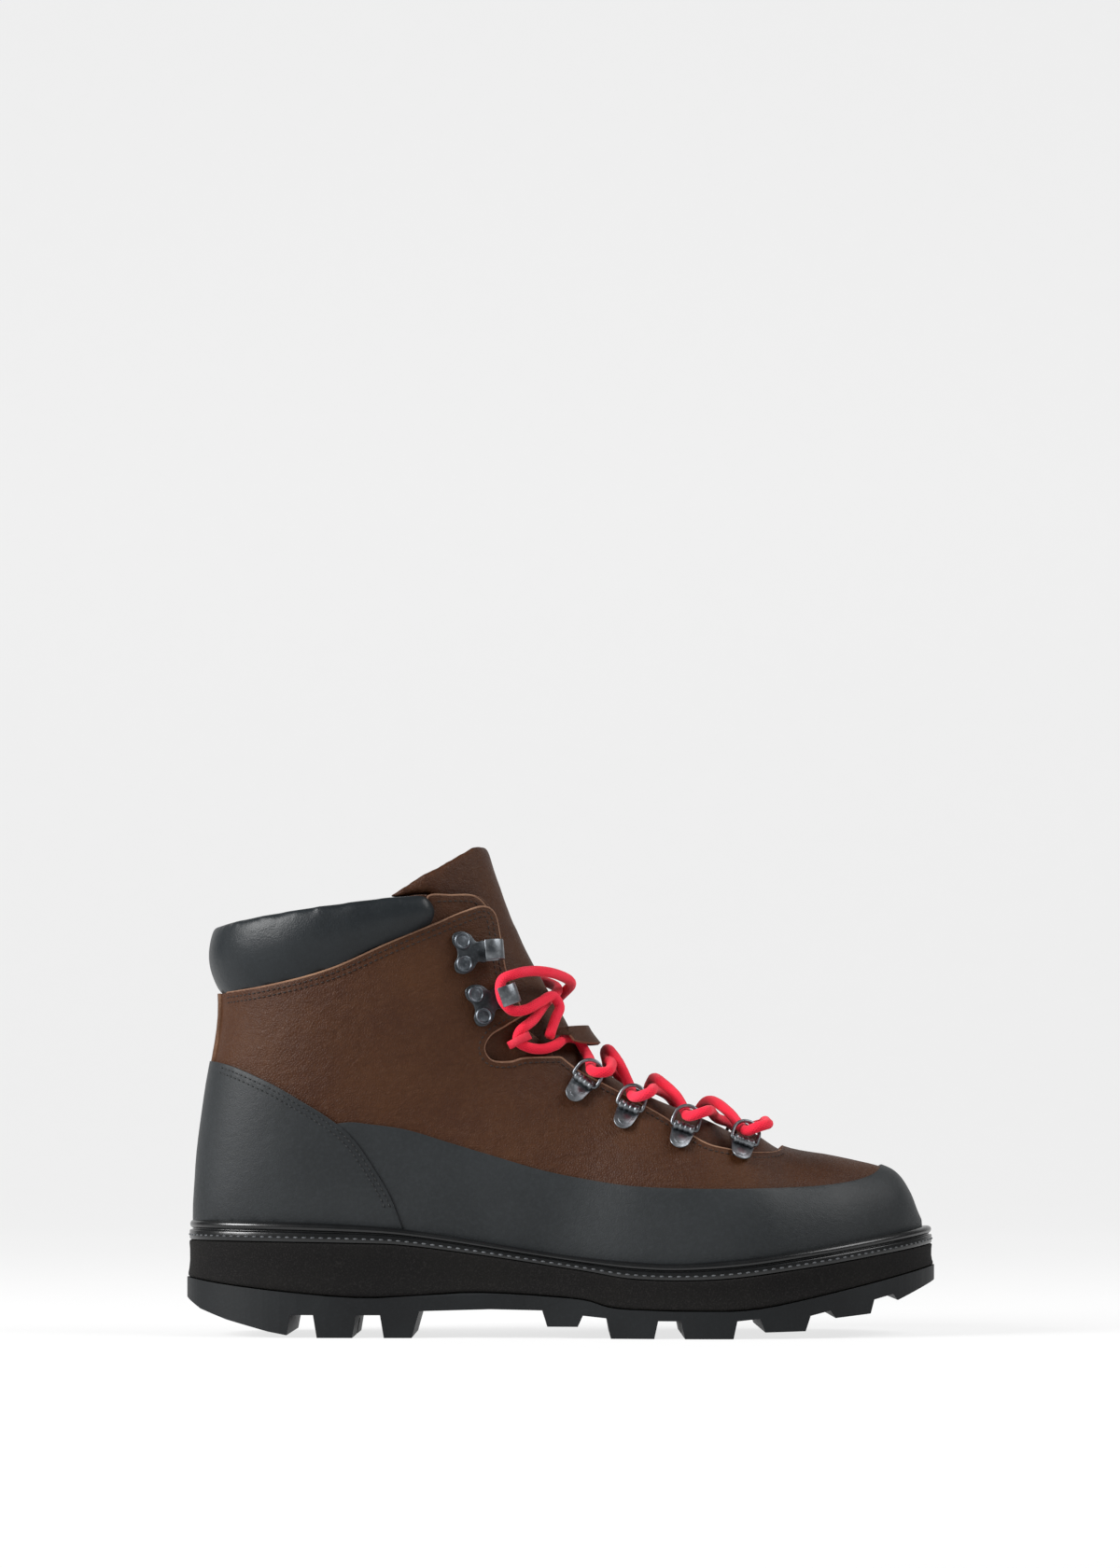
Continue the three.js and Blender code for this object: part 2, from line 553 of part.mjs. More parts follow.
function hookSolid() {
  const ear = rivetSpread + 3.9;
  const base = smooth([[-ear, rivetBack], [-ear + 1, rivetBack - 3.4], [-2, rivetBack - 2.6], [2, rivetBack - 2.6],
    [ear - 1, rivetBack - 3.4], [ear, rivetBack], [ear - 1.5, rivetBack + 3.6], [hookWidth / 2, 1],
    [hookWidth / 2, 4.5], [-hookWidth / 2, 4.5], [-hookWidth / 2, 1], [-ear + 1.5, rivetBack + 3.6]], 22, true);
  const plate = flatPlate(base, plateLift, hookSheet);
  const curl = smooth([[2.5, 0.6], [6, 0.6], [8.6, 2], [9.3, 4.6], [8, 7], [5, 7.8], [2, 7]], 9);
  const back = smooth([[2.5, -0.6], [6.3, -0.6], [9.5, 1.1], [10.6, 4.7], [8.8, 8], [5, 9.1], [1.6, 8]], 9);
  const profile = [...curl, ...back.reverse()].map(([y, z]) => [y, z + plateLift + hookSheet / 2]);
  const lip = new THREE.ExtrudeGeometry(shapeOf(profile), { depth: hookWidth, bevelEnabled: false });
  lip.translate(0, 0, -hookWidth / 2);
  lip.applyMatrix4(new THREE.Matrix4().makeBasis(new THREE.Vector3(0, 1, 0), new THREE.Vector3(0, 0, 1),
    new THREE.Vector3(1, 0, 0)));
  return plate.add(solidFrom(lip));
}

function rivetSolid() {
  const r = rivetDiameter / 2;
  const profile = [[0, 0], [r, 0], [r, 0.4], [r * 0.6, 1.15], [0, 1.35]];
  const geometry = new THREE.LatheGeometry(profile.map(([x, y]) => new THREE.Vector2(x, y)), 9);
  geometry.rotateX(Math.PI / 2);
  return solidFrom(geometry);
}

function addHooks() {
  const hook = hookSolid();
  const rivet = rivetSolid();
  for (const [label, side] of sides) {
    hooks.forEach(({ at: place, slope }, i) => {
      const angle = THREE.MathUtils.degToRad(slope);
      const holder = placedOn(place, side, [side * Math.cos(angle), side * Math.sin(angle)]);
      const name = ['upper', 'lower'][i];
      addPiece(`hook_${name}_${label}`, hook, blackPlate, holder);
      [-1, 1].forEach((end) => {
        const piece = addPiece(`hook_rivet_${name}_${label}_${end < 0 ? 1 : 2}`, rivet, blackPlate, holder);
        piece.position.set(end * rivetSpread, rivetBack, plateLift + hookSheet + gap);
      });
    });
  }
}

// ---- Trim that lies inside or across the opening ----
const layerUnder = leather + gap;
const trimWall = 1.2;

function addTabsAndGussets() {
  const tab = [[-58, 163], [-54.2, 175], [-36, 175.6], [-30.6, 171.9], [-27.3, 165.3], [-27.6, 150], [-44, 150]];
  const notch = [[-38, 124], [-26, 130], [-18, 124], [-6, 114.5], [-4, 106], [-20, 104.5], [-38, 107]];
  for (const [label, side] of sides) {
    const half = side < 0 ? [-120, -2] : [2, 120];
    const tabPrism = sidePrism(sideOutline(tab), ...half).subtract(sidePrism(grown(collarOutline, gap)));
    addPiece(`facing_tab_${label}`, shell(layerUnder, layerUnder + trimWall, tabPrism), brownLeather);
    const notchPrism = sidePrism(sideOutline(notch), ...half);
    addPiece(`gusset_${label}`, shell(layerUnder, layerUnder + trimWall, notchPrism), brownLeather);
  }
}

// Leather strap over the tongue that the lace runs under.
const loopHalfWidth = 21.5;
function addTongueLoop() {
  const outline = [[-9, 122.6], [-6, 123], [6, 124.2], [16, 124.5], [18, 117.4], [8, 117.4], [0, 119], [-9, 120]];
  const tongueTop = leather + gap + tongueDrop;
  const rise = laceDiameter + 2.8;
  const outer = tongueTop - gap - rise - trimWall;
  const strap = shell(outer, outer + trimWall, sidePrism(sideOutline(outline), -loopHalfWidth, loopHalfWidth));
  const legOutline = [[-9, 120.2], [8, 120.2], [8, 124], [6, 124], [-6, 122.8], [-9, 122.4]];
  const leg = (side) => shell(outer, tongueTop - gap, sidePrism(sideOutline(legOutline),
    ...(side < 0 ? [-loopHalfWidth, -loopHalfWidth + trimWall] : [loopHalfWidth - trimWall, loopHalfWidth])));
  addPiece('tongue_loop', strap.add(leg(-1)).add(leg(1)), brownLeather);
}

// ---- Lace: one cord through all eight rings and round both lower hooks, both ends tucked ----
const laceRoute = [
  [-8.5, 21.5, 136], [-12.5, 27.5, 132.5], [-17.3, 31.6, 130.6], [-21.6, 33.8, 129.6],
  [-25.6, 34.9, 134.7], [-25.6, 34.6, 141.3], [-20.5, 32.2, 144.2], [-13, 25, 144], [-6, 12, 141.8],
  [-3.5, -2, 138.6], [-8.2, -15.8, 133.2], [-13.2, -24.6, 126], [-18.6, -31, 121], [-19.2, -31.2, 117.6],
  [-15, -29.6, 115], [-9.5, -27.4, 114.4], [-4.5, -24.5, 115.9], [0.2, -15.4, 119.2],
  [4.4, -12.4, 118.6], [7.6, -13.6, 113.8], [9.6, -21.5, 109.6], [10, -29.8, 106], [12, -34.2, 105],
  [16, -34, 105.2], [18.2, -21, 108.6], [17, -9, 110], [17.8, 6, 108.6], [24.4, 18.9, 100.6],
  [26.3, 26.7, 95.5], [28.2, 31.8, 95.6], [32.2, 33, 97.4], [34.4, 19, 101.6], [35.6, 4, 103.4],
  [38, -9, 101.8], [43.8, -21, 96], [47.1, -29.6, 89.9], [48, -34.8, 87.7], [50.6, -38.6, 88],
  [54.8, -38.6, 89.4], [57.4, -24, 90], [58.6, -10, 89.2], [61.6, 6, 87], [66.8, 18, 85.4],
  [69.8, 25.8, 83.1], [71.7, 30.8, 82], [75, 34.4, 83.4], [79.4, 32.2, 84.8], [80, 19, 85],
  [80.4, 0, 86], [80.2, -19, 84.8], [79.4, -32.6, 84.4], [75.4, -35, 83.2], [71.8, -31.6, 81.8],
  [69.9, -26.6, 83], [65.8, -17, 88.6], [60.6, -3, 93.4], [57.4, 11, 94.2], [55, 26, 91.6],
  [54.6, 36.4, 89.8], [50.4, 36, 88.2], [47.8, 31.9, 87.5], [46.6, 25.7, 89.8], [42, 14, 96],
  [36.4, 0, 98.8], [34.2, -14, 98.4], [34.6, -28, 98.6], [32.6, -37.4, 96.8], [29, -37, 95.4],
  [26.4, -32.3, 95.5], [25.5, -25.2, 99], [21.4, -15, 108.6], [17.4, -3, 114.6], [15.8, 10, 114],
  [16.8, 20.5, 109.6], [17, 28.6, 105.2], [12.6, 28.6, 104.6], [10.1, 24.3, 105.3], [8.6, 18, 109.8],
  [7.4, 13, 113.8], [3, 11.4, 117.8], [-0.8, 14.2, 118.4], [-4.5, 22, 116.4], [-9.5, 26.9, 114.8],
  [-15, 28.8, 115.2], [-19, 31, 117.8], [-18.7, 30.8, 121], [-13.2, 24.3, 126.4], [-8, 15, 132],
  [-1, 6, 138], [2, -3, 141.6], [-4.5, -16.5, 144.8], [-14, -27.5, 145.4], [-20.5, -32, 144],
  [-25.6, -34.4, 141.3], [-25.6, -34.8, 134.6], [-21.6, -33.6, 129.6], [-16.5, -31.6, 129.8],
  [-10.5, -26, 133], [-5.2, -19, 135.6], [-2.6, -18.6, 131.6], [-4.2, -21.4, 127], [-6, -24.8, 121.8],
  [-6.6, -26.6, 119.4],
];

function addLace() {
  addPiece('lace', sweep(laceRoute, laceDiameter / 2, 4, 125), redTextile);
}

// Short woven loop sewn at each notch, holding the lace back.
const keeperWidth = 3.2;
const keeperWall = 0.8;
function addKeepers() {
  const inner = laceDiameter / 2 + gap + 1.8;
  const ringShape = new THREE.Shape();
  ringShape.absarc(0, 0, inner + keeperWall, 0, 2 * Math.PI);
  const hole = new THREE.Path();
  hole.absarc(0, 0, inner, 0, 2 * Math.PI);
  ringShape.holes.push(hole);
  const geometry = new THREE.ExtrudeGeometry(ringShape, { depth: keeperWidth, curveSegments: 6, bevelEnabled: false });
  geometry.translate(0, 0, -keeperWidth / 2);
  geometry.rotateY(Math.PI / 2);
  const loop = solidFrom(geometry);
  for (const [label, side] of sides) {
    const centre = [-18.6 * stretchX, side * 31.3 * stretchY, 117.7 * stretchZ];
    const holder = new THREE.Group();
    holder.position.set(...centre);
    holder.rotateY(THREE.MathUtils.degToRad(-117));
    boot.add(holder);
    addPiece(`lace_keeper_${label}`, loop, redTextile, holder);
  }
}

addOutsole();
addMidsole();
addWelt();
const insideLevels = addInside();
addUpper();
addCollar();
addTongue();
addLining(insideLevels);
addTabsAndGussets();
addTongueLoop();
addRingClips();
addHooks();
addKeepers();
addLace();

// The origin is on the ground under the middle of the whole boot.
const whole = new THREE.Box3().setFromObject(boot, true);
boot.position.set(-(whole.min.x + whole.max.x) / 2, -(whole.min.y + whole.max.y) / 2, -whole.min.z);

export default boot;
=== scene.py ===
import json
import math

import bmesh
import bpy
from mathutils import Matrix, Vector, noise
from mathutils.bvhtree import BVHTree


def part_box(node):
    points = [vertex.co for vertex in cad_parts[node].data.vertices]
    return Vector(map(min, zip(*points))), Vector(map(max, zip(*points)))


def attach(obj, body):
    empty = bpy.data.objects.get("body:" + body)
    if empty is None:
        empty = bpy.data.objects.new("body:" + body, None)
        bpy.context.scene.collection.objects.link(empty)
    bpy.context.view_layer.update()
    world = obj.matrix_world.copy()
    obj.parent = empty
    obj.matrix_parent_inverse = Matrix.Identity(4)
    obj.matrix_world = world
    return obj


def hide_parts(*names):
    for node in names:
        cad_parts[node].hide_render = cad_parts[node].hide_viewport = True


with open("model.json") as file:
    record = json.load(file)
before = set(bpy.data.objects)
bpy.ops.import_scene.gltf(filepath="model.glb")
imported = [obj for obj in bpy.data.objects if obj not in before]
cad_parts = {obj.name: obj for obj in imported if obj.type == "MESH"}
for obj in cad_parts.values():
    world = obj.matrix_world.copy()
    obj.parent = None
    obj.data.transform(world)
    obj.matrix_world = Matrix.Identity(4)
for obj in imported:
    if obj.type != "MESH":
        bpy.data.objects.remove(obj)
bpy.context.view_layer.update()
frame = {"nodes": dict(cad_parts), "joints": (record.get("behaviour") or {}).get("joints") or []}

scene = bpy.context.scene
scene.view_settings.view_transform = "Standard"

mm = 0.001
shankLow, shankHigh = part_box("shank")
# Shapes are drawn in millimetres from the last's own centre; this is where that centre lies in the frame.
originShift = ((shankLow[0] + shankHigh[0]) / 2 / mm + 37.0, (shankLow[1] + shankHigh[1]) / 2 / mm)


def toFrame(point):
    return Vector(((point[0] + originShift[0]) * mm, (point[1] + originShift[1]) * mm, point[2] * mm))


def fromFrame(point):
    return Vector((point[0] / mm - originShift[0], point[1] / mm - originShift[1], point[2] / mm))


camera = {"x": -0.0006, "height": 0.07, "distance": 1.75, "frameHeight": 0.6335, "horizon": 0.2402}


def addCamera():
    data = bpy.data.cameras.new("camera")
    data.sensor_fit = "VERTICAL"
    data.sensor_height = 36
    data.lens = 36 * camera["distance"] / camera["frameHeight"]
    data.shift_y = camera["horizon"]
    data.clip_end = 50
    obj = bpy.data.objects.new("camera", data)
    scene.collection.objects.link(obj)
    obj.location = (camera["x"], -camera["distance"], camera["height"])
    obj.rotation_euler = (math.pi / 2, 0, 0)
    scene.camera = obj


addCamera()


def hexColour(text):
    channels = [int(text[i:i + 2], 16) / 255 for i in (1, 3, 5)]
    return tuple(c / 12.92 if c <= 0.04045 else ((c + 0.055) / 1.055) ** 2.4 for c in channels) + (1.0,)


def addNode(tree, kind, settings=None, stops=(), **inputs):
    # An input is given by its name, or by i and its number; stops are a colour ramp's two places and greys.
    node = tree.nodes.new(kind)
    for key, value in (settings or {}).items():
        setattr(node, key, value)
    for i, (where, tone) in enumerate(stops):
        node.color_ramp.elements[i].position = where
        node.color_ramp.elements[i].color = (tone, tone, tone, 1)
    for key, value in inputs.items():
        numbered = key[0] == "i" and key[1:].isdigit()
        socket = node.inputs[int(key[1:]) if numbered else key.replace("_", " ")]
        if isinstance(value, bpy.types.NodeSocket):
            tree.links.new(value, socket)
        else:
            socket.default_value = value
    return node


def startMaterial(name, **shader):
    material = bpy.data.materials.new(name)
    material.use_nodes = True
    tree = material.node_tree
    tree.nodes.clear()
    body = addNode(tree, "ShaderNodeBsdfPrincipled", None, **shader)
    out = addNode(tree, "ShaderNodeOutputMaterial")
    tree.links.new(body.outputs[0], out.inputs[0])
    place = addNode(tree, "ShaderNodeTexCoord").outputs["Object"]
    return material, tree, body, place


def grainPerMetre(sizeInMm):
    return 1000 / sizeInMm


rampKind, mixKind, colourMix = "ShaderNodeValToRGB", "ShaderNodeMix", {"data_type": "RGBA"}


def leatherMaterial(name, look):
    # Nubuck or waxed leather: fine pebble grain, soft cloudy tone, long creases where the foot bends.
    material, tree, body, place = startMaterial(name, Roughness=look["roughness"], IOR=1.5,
                                                Specular_IOR_Level=look["shine"])
    cloud = addNode(tree, "ShaderNodeTexNoise", None, Vector=place, Scale=grainPerMetre(38), Detail=5.0, Roughness=0.6)
    speck = addNode(tree, "ShaderNodeTexNoise", None, Vector=place, Scale=grainPerMetre(1.6), Detail=3.0)
    patches = addNode(tree, rampKind, None, [(0.3, 0.0), (0.7, 1.0)], Fac=cloud.outputs[0])
    tone = addNode(tree, mixKind, colourMix, Factor=patches.outputs[0], i6=hexColour(look["dark"]),
                   i7=hexColour(look["light"]))
    scuffs = addNode(tree, rampKind, None, [(0.45, 0.0), (0.75, 0.25)], Fac=speck.outputs[0])
    tone = addNode(tree, mixKind, colourMix, Factor=scuffs.outputs[0], i6=tone.outputs[2],
                   i7=hexColour(look["worn"]))
    tree.links.new(tone.outputs[2], body.inputs["Base Color"])
    pebble = addNode(tree, "ShaderNodeTexVoronoi", {"feature": "DISTANCE_TO_EDGE"}, Vector=place,
                     Scale=grainPerMetre(look["grain"]))
    pores = addNode(tree, "ShaderNodeTexNoise", None, Vector=place, Scale=grainPerMetre(0.7), Detail=4.0)
    stretched = addNode(tree, "ShaderNodeMapping", None, Vector=place, Scale=(1.0, 1.0, 1.7),
                        Rotation=(0.0, 0.25, 0.0))
    crease = addNode(tree, "ShaderNodeTexNoise", None, Vector=stretched.outputs[0], Scale=grainPerMetre(6),
                     Detail=6.0, Distortion=0.8)
    domes = addNode(tree, rampKind, None, [(0.0, 0.0), (0.25, 1.0)], Fac=pebble.outputs[0])
    first = addNode(tree, "ShaderNodeBump", None, Height=domes.outputs[0], Strength=look["relief"],
                    Distance=0.00025)
    second = addNode(tree, "ShaderNodeBump", None, Height=pores.outputs[0], Strength=0.35, Distance=0.00025,
                     Normal=first.outputs[0])
    third = addNode(tree, "ShaderNodeBump", None, Height=crease.outputs[0], Strength=look["creases"],
                    Distance=0.0012, Normal=second.outputs[0])
    tree.links.new(third.outputs[0], body.inputs["Normal"])
    rough = addNode(tree, "ShaderNodeMapRange", None, Value=cloud.outputs[0], i3=look["roughness"] - 0.06,
                    i4=look["roughness"] + 0.08)
    tree.links.new(rough.outputs[0], body.inputs["Roughness"])
    return material


def plainMaterial(name, look):
    # Moulded or woven base: two tones of fine noise and one relief at the grain's real size.
    material, tree, body, place = startMaterial(name, Metallic=look.get("metal", 0.0), Roughness=look["roughness"],
                                                Emission_Color=(1, 1, 1, 1),
                                                Emission_Strength=look.get("glow", 0.0),
                                                Specular_IOR_Level=look.get("shine", 0.5))
    grain = addNode(tree, "ShaderNodeTexNoise", None, Vector=place, Scale=grainPerMetre(look["grain"]), Detail=4.0)
    cloud = addNode(tree, "ShaderNodeTexNoise", None, Vector=place, Scale=grainPerMetre(look.get("cloud", 25)),
                    Detail=4.0)
    patches = addNode(tree, rampKind, None, [(0.35, 0.0), (0.65, 1.0)], Fac=cloud.outputs[0])
    tone = addNode(tree, mixKind, colourMix, Factor=patches.outputs[0], i6=hexColour(look["dark"]),
                   i7=hexColour(look["light"]))
    specks = addNode(tree, rampKind, None, [(0.5, 0.0), (0.72, look.get("speck", 0.3))], Fac=grain.outputs[0])
    tone = addNode(tree, mixKind, colourMix, Factor=specks.outputs[0], i6=tone.outputs[2],
                   i7=hexColour(look["worn"]))
    tree.links.new(tone.outputs[2], body.inputs["Base Color"])
    bump = addNode(tree, "ShaderNodeBump", None, Height=grain.outputs[0], Strength=look["relief"], Distance=0.0003)
    tree.links.new(bump.outputs[0], body.inputs["Normal"])
    rough = addNode(tree, "ShaderNodeMapRange", None, Value=cloud.outputs[0], i3=look["roughness"] - 0.05,
                    i4=look["roughness"] + 0.07)
    tree.links.new(rough.outputs[0], body.inputs["Roughness"])
    return material


def cordMaterial(name, look):
    # Braided polyester: two crossing sets of yarns, read from the cord's own lengthwise map and drawn
    # coarser than real yarns so that they show.
    material, tree, body, place = startMaterial(name, Roughness=look["roughness"], IOR=1.5, Sheen_Weight=0.1,
                                                Specular_IOR_Level=0.25)
    flat = addNode(tree, "ShaderNodeUVMap", {"uv_map": "along"}).outputs[0]
    heights = []
    for lean in (1.0, -1.0):
        turned = addNode(tree, "ShaderNodeMapping", None, Vector=flat, Scale=(1.0, lean, 1.0))
        yarn = addNode(tree, "ShaderNodeTexWave", {"wave_type": "BANDS", "bands_direction": "DIAGONAL"},
                       Vector=turned.outputs[0], Scale=look["yarns"], Distortion=0.3)
        heights.append(yarn.outputs[1])
    woven = addNode(tree, "ShaderNodeMath", {"operation": "MAXIMUM"}, i0=heights[0], i1=heights[1]).outputs[0]
    # Painted shade: the grooves between the yarns are coloured darker and the crests lighter, from the same heights
    # that drive the bump.
    tone = addNode(tree, mixKind, colourMix, Factor=woven, i6=hexColour(look["dark"]), i7=hexColour(look["light"]))
    cloud = addNode(tree, "ShaderNodeTexNoise", None, Vector=place, Scale=grainPerMetre(14), Detail=3.0)
    faded = addNode(tree, rampKind, None, [(0.45, 0.0), (0.8, 0.5)], Fac=cloud.outputs[0])
    tone = addNode(tree, mixKind, colourMix, Factor=faded.outputs[0], i6=tone.outputs[2], i7=hexColour(look["worn"]))
    tree.links.new(tone.outputs[2], body.inputs["Base Color"])
    bump = addNode(tree, "ShaderNodeBump", None, Height=woven, Strength=0.55, Distance=0.0003)
    tree.links.new(bump.outputs[0], body.inputs["Normal"])
    return material


finishes = {
    # Waxed nubuck: dull, softly clouded, with a fine pebble and paler scuffs.
    "brown": leatherMaterial("waxedNubuckBrown", {"dark": "#341909", "light": "#41240e", "worn": "#52351f",
                                                  "roughness": 0.52, "grain": 1.0, "relief": 0.45, "creases": 0.42,
                                                  "shine": 0.2}),
    # Buffed leather overlays: nearly even grey-black with a soft wide sheen.
    "charcoal": leatherMaterial("nubuckCharcoal", {"dark": "#1a1d1f", "light": "#232628", "worn": "#303437",
                                                   "roughness": 0.52, "grain": 0.8, "relief": 0.1, "creases": 0.1,
                                                   "shine": 0.3}),
    # Thin soft leather over foam: darker, smoother, a little glossier.
    "collar": leatherMaterial("softCollarLeather", {"dark": "#13171a", "light": "#191e21", "worn": "#23282c",
                                                    "roughness": 0.42, "grain": 0.9, "relief": 0.08,
                                                    "creases": 0.12, "shine": 0.3}),
    # The cut side of the brown leather, paler and fuzzy.
    "rawEdge": plainMaterial("cutLeatherEdge", {"dark": "#6a4a37", "light": "#8a6850", "worn": "#a98870",
                                                "roughness": 0.85, "grain": 0.8, "relief": 0.6}),
    # The cut side of the charcoal leather.
    "greyEdge": plainMaterial("cutCharcoalEdge", {"dark": "#2b2e30", "light": "#3b3f42", "worn": "#505457",
                                                  "roughness": 0.8, "grain": 0.8, "relief": 0.4}),
    # Bonded polyester thread; the same in black and grey below.
    "thread": plainMaterial("brownThread", {"dark": "#150c07", "light": "#20130b", "worn": "#3a281b",
                                            "roughness": 0.7, "grain": 0.4, "relief": 0.6}),
    "blackThread": plainMaterial("blackThread", {"dark": "#0c0d0e", "light": "#141516", "worn": "#26292c",
                                                 "roughness": 0.6, "grain": 0.4, "relief": 0.6}),
    "weltThread": plainMaterial("greyWeltThread", {"dark": "#3c3e41", "light": "#505356", "worn": "#6d7073",
                                                   "roughness": 0.55, "grain": 0.4, "relief": 0.6}),
    # Polished rubber strip: sharp narrow highlights.
    "welt": plainMaterial("polishedWeltRubber", {"dark": "#0b0c0d", "light": "#111213", "worn": "#1c1e20",
                                                 "roughness": 0.25, "grain": 3.0, "relief": 0.06}),
    # Sanded foam rubber: matt, with fine pale specks.
    "midsole": plainMaterial("sandedMidsole", {"dark": "#0d0c0c", "light": "#121110", "worn": "#2c2a29",
                                               "roughness": 0.85, "grain": 0.55, "relief": 0.6, "speck": 0.5,
                                               "shine": 0.15}),
    # Moulded rubber: slightly satin from the mould.
    "outsole": plainMaterial("mouldedOutsoleRubber", {"dark": "#0d0f11", "light": "#121517", "worn": "#1c1f22",
                                                      "roughness": 0.55, "grain": 1.2, "relief": 0.15,
                                                      "shine": 0.25}),
    # Knitted textile: dark, matt and nubbly.
    "lining": plainMaterial("knitLining", {"dark": "#141617", "light": "#1d2021", "worn": "#2c2f31",
                                           "roughness": 0.9, "grain": 0.9, "relief": 0.7}),
    # Cork and pressed fibre, hidden inside.
    "board": plainMaterial("corkAndFibre", {"dark": "#8a6a45", "light": "#a9825a", "worn": "#5f4529",
                                            "roughness": 0.9, "grain": 1.4, "relief": 0.6}),
    # Bare rolled steel strip, hidden inside.
    "steel": plainMaterial("bareSteelStrip", {"dark": "#85898d", "light": "#9da1a5", "worn": "#b6babd",
                                              "roughness": 0.35, "grain": 1.0, "relief": 0.1, "metal": 1.0}),
    # Plated sheet and wire: mid grey metal with a fine blotchy grain.
    "gunmetal": plainMaterial("gunmetalPlate", {"dark": "#5b5f63", "light": "#7d8185", "worn": "#b0b4b7",
                                                "roughness": 0.38, "grain": 1.4, "relief": 0.15, "metal": 1.0,
                                                "cloud": 5}),
    # Blackened steel: darker and softer than the plated parts.
    "blackMetal": plainMaterial("blackenedSteel", {"dark": "#34383b", "light": "#474b4f", "worn": "#6a6e72",
                                                   "roughness": 0.38, "grain": 1.2, "relief": 0.1, "metal": 0.8,
                                                   "cloud": 5}),
    # Plated rivet caps.
    "rivet": plainMaterial("gunmetalRivet", {"dark": "#4a4f54", "light": "#656a70", "worn": "#949aa0",
                                             "roughness": 0.4, "grain": 1.2, "relief": 0.1, "metal": 1.0,
                                             "cloud": 4}),
    # Red polyester braid.
    "lace": cordMaterial("braidedRedLace", {"dark": "#c00d2b", "light": "#ee1839", "worn": "#f2405a",
                                            "roughness": 0.7, "yarns": 0.55}),
    # Red woven tape.
    "tape": plainMaterial("wovenRedTape", {"dark": "#b80d2a", "light": "#dc1636", "worn": "#e83a55",
                                           "roughness": 0.75, "grain": 0.7, "relief": 0.7}),
    # Seamless studio paper, lit evenly by a little light of its own.
    "floor": plainMaterial("paleStudioPaper", {"dark": "#6e6e6e", "light": "#707070", "worn": "#6c6c6c",
                                               "roughness": 0.95, "grain": 2.0, "relief": 0.0, "glow": 0.75}),
}
for node in ("insole_board", "cork_filler", "heel_counter", "toe_puff"):
    frame["nodes"][node].data.materials.clear()
    frame["nodes"][node].data.materials.append(finishes["board"])
frame["nodes"]["shank"].data.materials.clear()
frame["nodes"]["shank"].data.materials.append(finishes["steel"])
print("materials ready")


def finishMesh(name, bm, materials, body="boot", nodes=(), shade=True):
    for vert in bm.verts:
        vert.co = toFrame(vert.co)
    mesh = bpy.data.meshes.new(name)
    bm.to_mesh(mesh)
    bm.free()
    for item in materials:
        mesh.materials.append(finishes[item])
    obj = bpy.data.objects.new(name, mesh)
    scene.collection.objects.link(obj)
    if shade:
        mesh.shade_smooth()
    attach(obj, body)
    if nodes:
        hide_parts(*nodes)
    return obj


def helperObject(bm, materialCount=1, which=0):
    mesh = bpy.data.meshes.new("helper")
    bm.to_mesh(mesh)
    bm.free()
    for i in range(materialCount):
        mesh.materials.append(bpy.data.materials.get(f"mark{i}") or bpy.data.materials.new(f"mark{i}"))
    for face in mesh.polygons:
        face.material_index = which
    obj = bpy.data.objects.new("helper", mesh)
    scene.collection.objects.link(obj)
    return obj


def discard(obj):
    data = obj.data
    bpy.data.objects.remove(obj)
    bpy.data.meshes.remove(data)


def evaluated(obj):
    graph = bpy.context.evaluated_depsgraph_get()
    bm = bmesh.new()
    bm.from_object(obj, graph)
    discard(obj)
    return bm


def cutBy(obj, tool, operation):
    modifier = obj.modifiers.new("cut", "BOOLEAN")
    modifier.operation = operation
    modifier.object = tool
    modifier.solver = "EXACT"
    bm = evaluated(obj)
    discard(tool)
    return bm


def catmull(values, place):
    i = min(int(place), len(values) - 2)
    t = place - i
    a, b, c, d = (values[k] for k in (max(i - 1, 0), i, i + 1, min(i + 2, len(values) - 1)))
    return b + 0.5 * t * (c - a + t * (2 * a - 5 * b + 4 * c - d + t * (3 * (b - c) + d - a)))


def roundedCurve(points, perSpan, closed=False):
    count = len(points)
    spans = count if closed else count - 1
    line = []
    for i in range(spans):
        quad = [points[(i + k) % count] if closed else points[min(max(i + k, 0), count - 1)] for k in (-1, 0, 1, 2)]
        for step in range(perSpan):
            t = step / perSpan
            line.append(tuple(q1 + 0.5 * t * (q2 - q0 + t * (2 * q0 - 5 * q1 + 4 * q2 - q3
                        + t * (3 * (q1 - q2) + q3 - q0))) for q0, q1, q2, q3 in zip(*quad)))
    if not closed:
        line.append(tuple(points[-1]))
    return line


def lineHeight(line, x):
    for (x0, z0), (x1, z1) in zip(line, line[1:]):
        if x <= x1 or (x1, z1) == line[-1]:
            return z0 + (z1 - z0) * (x - x0) / (x1 - x0)


def spaced(points, step):
    # Points at equal steps along an open path.
    path = [Vector(p) for p in points]
    out = [path[0].copy()]
    left = step
    for a, b in zip(path, path[1:]):
        run = (b - a).length
        done = 0.0
        while run - done >= left and run > 0:
            done += left
            out.append(a.lerp(b, done / run))
            left = step
        left -= run - done
    return out


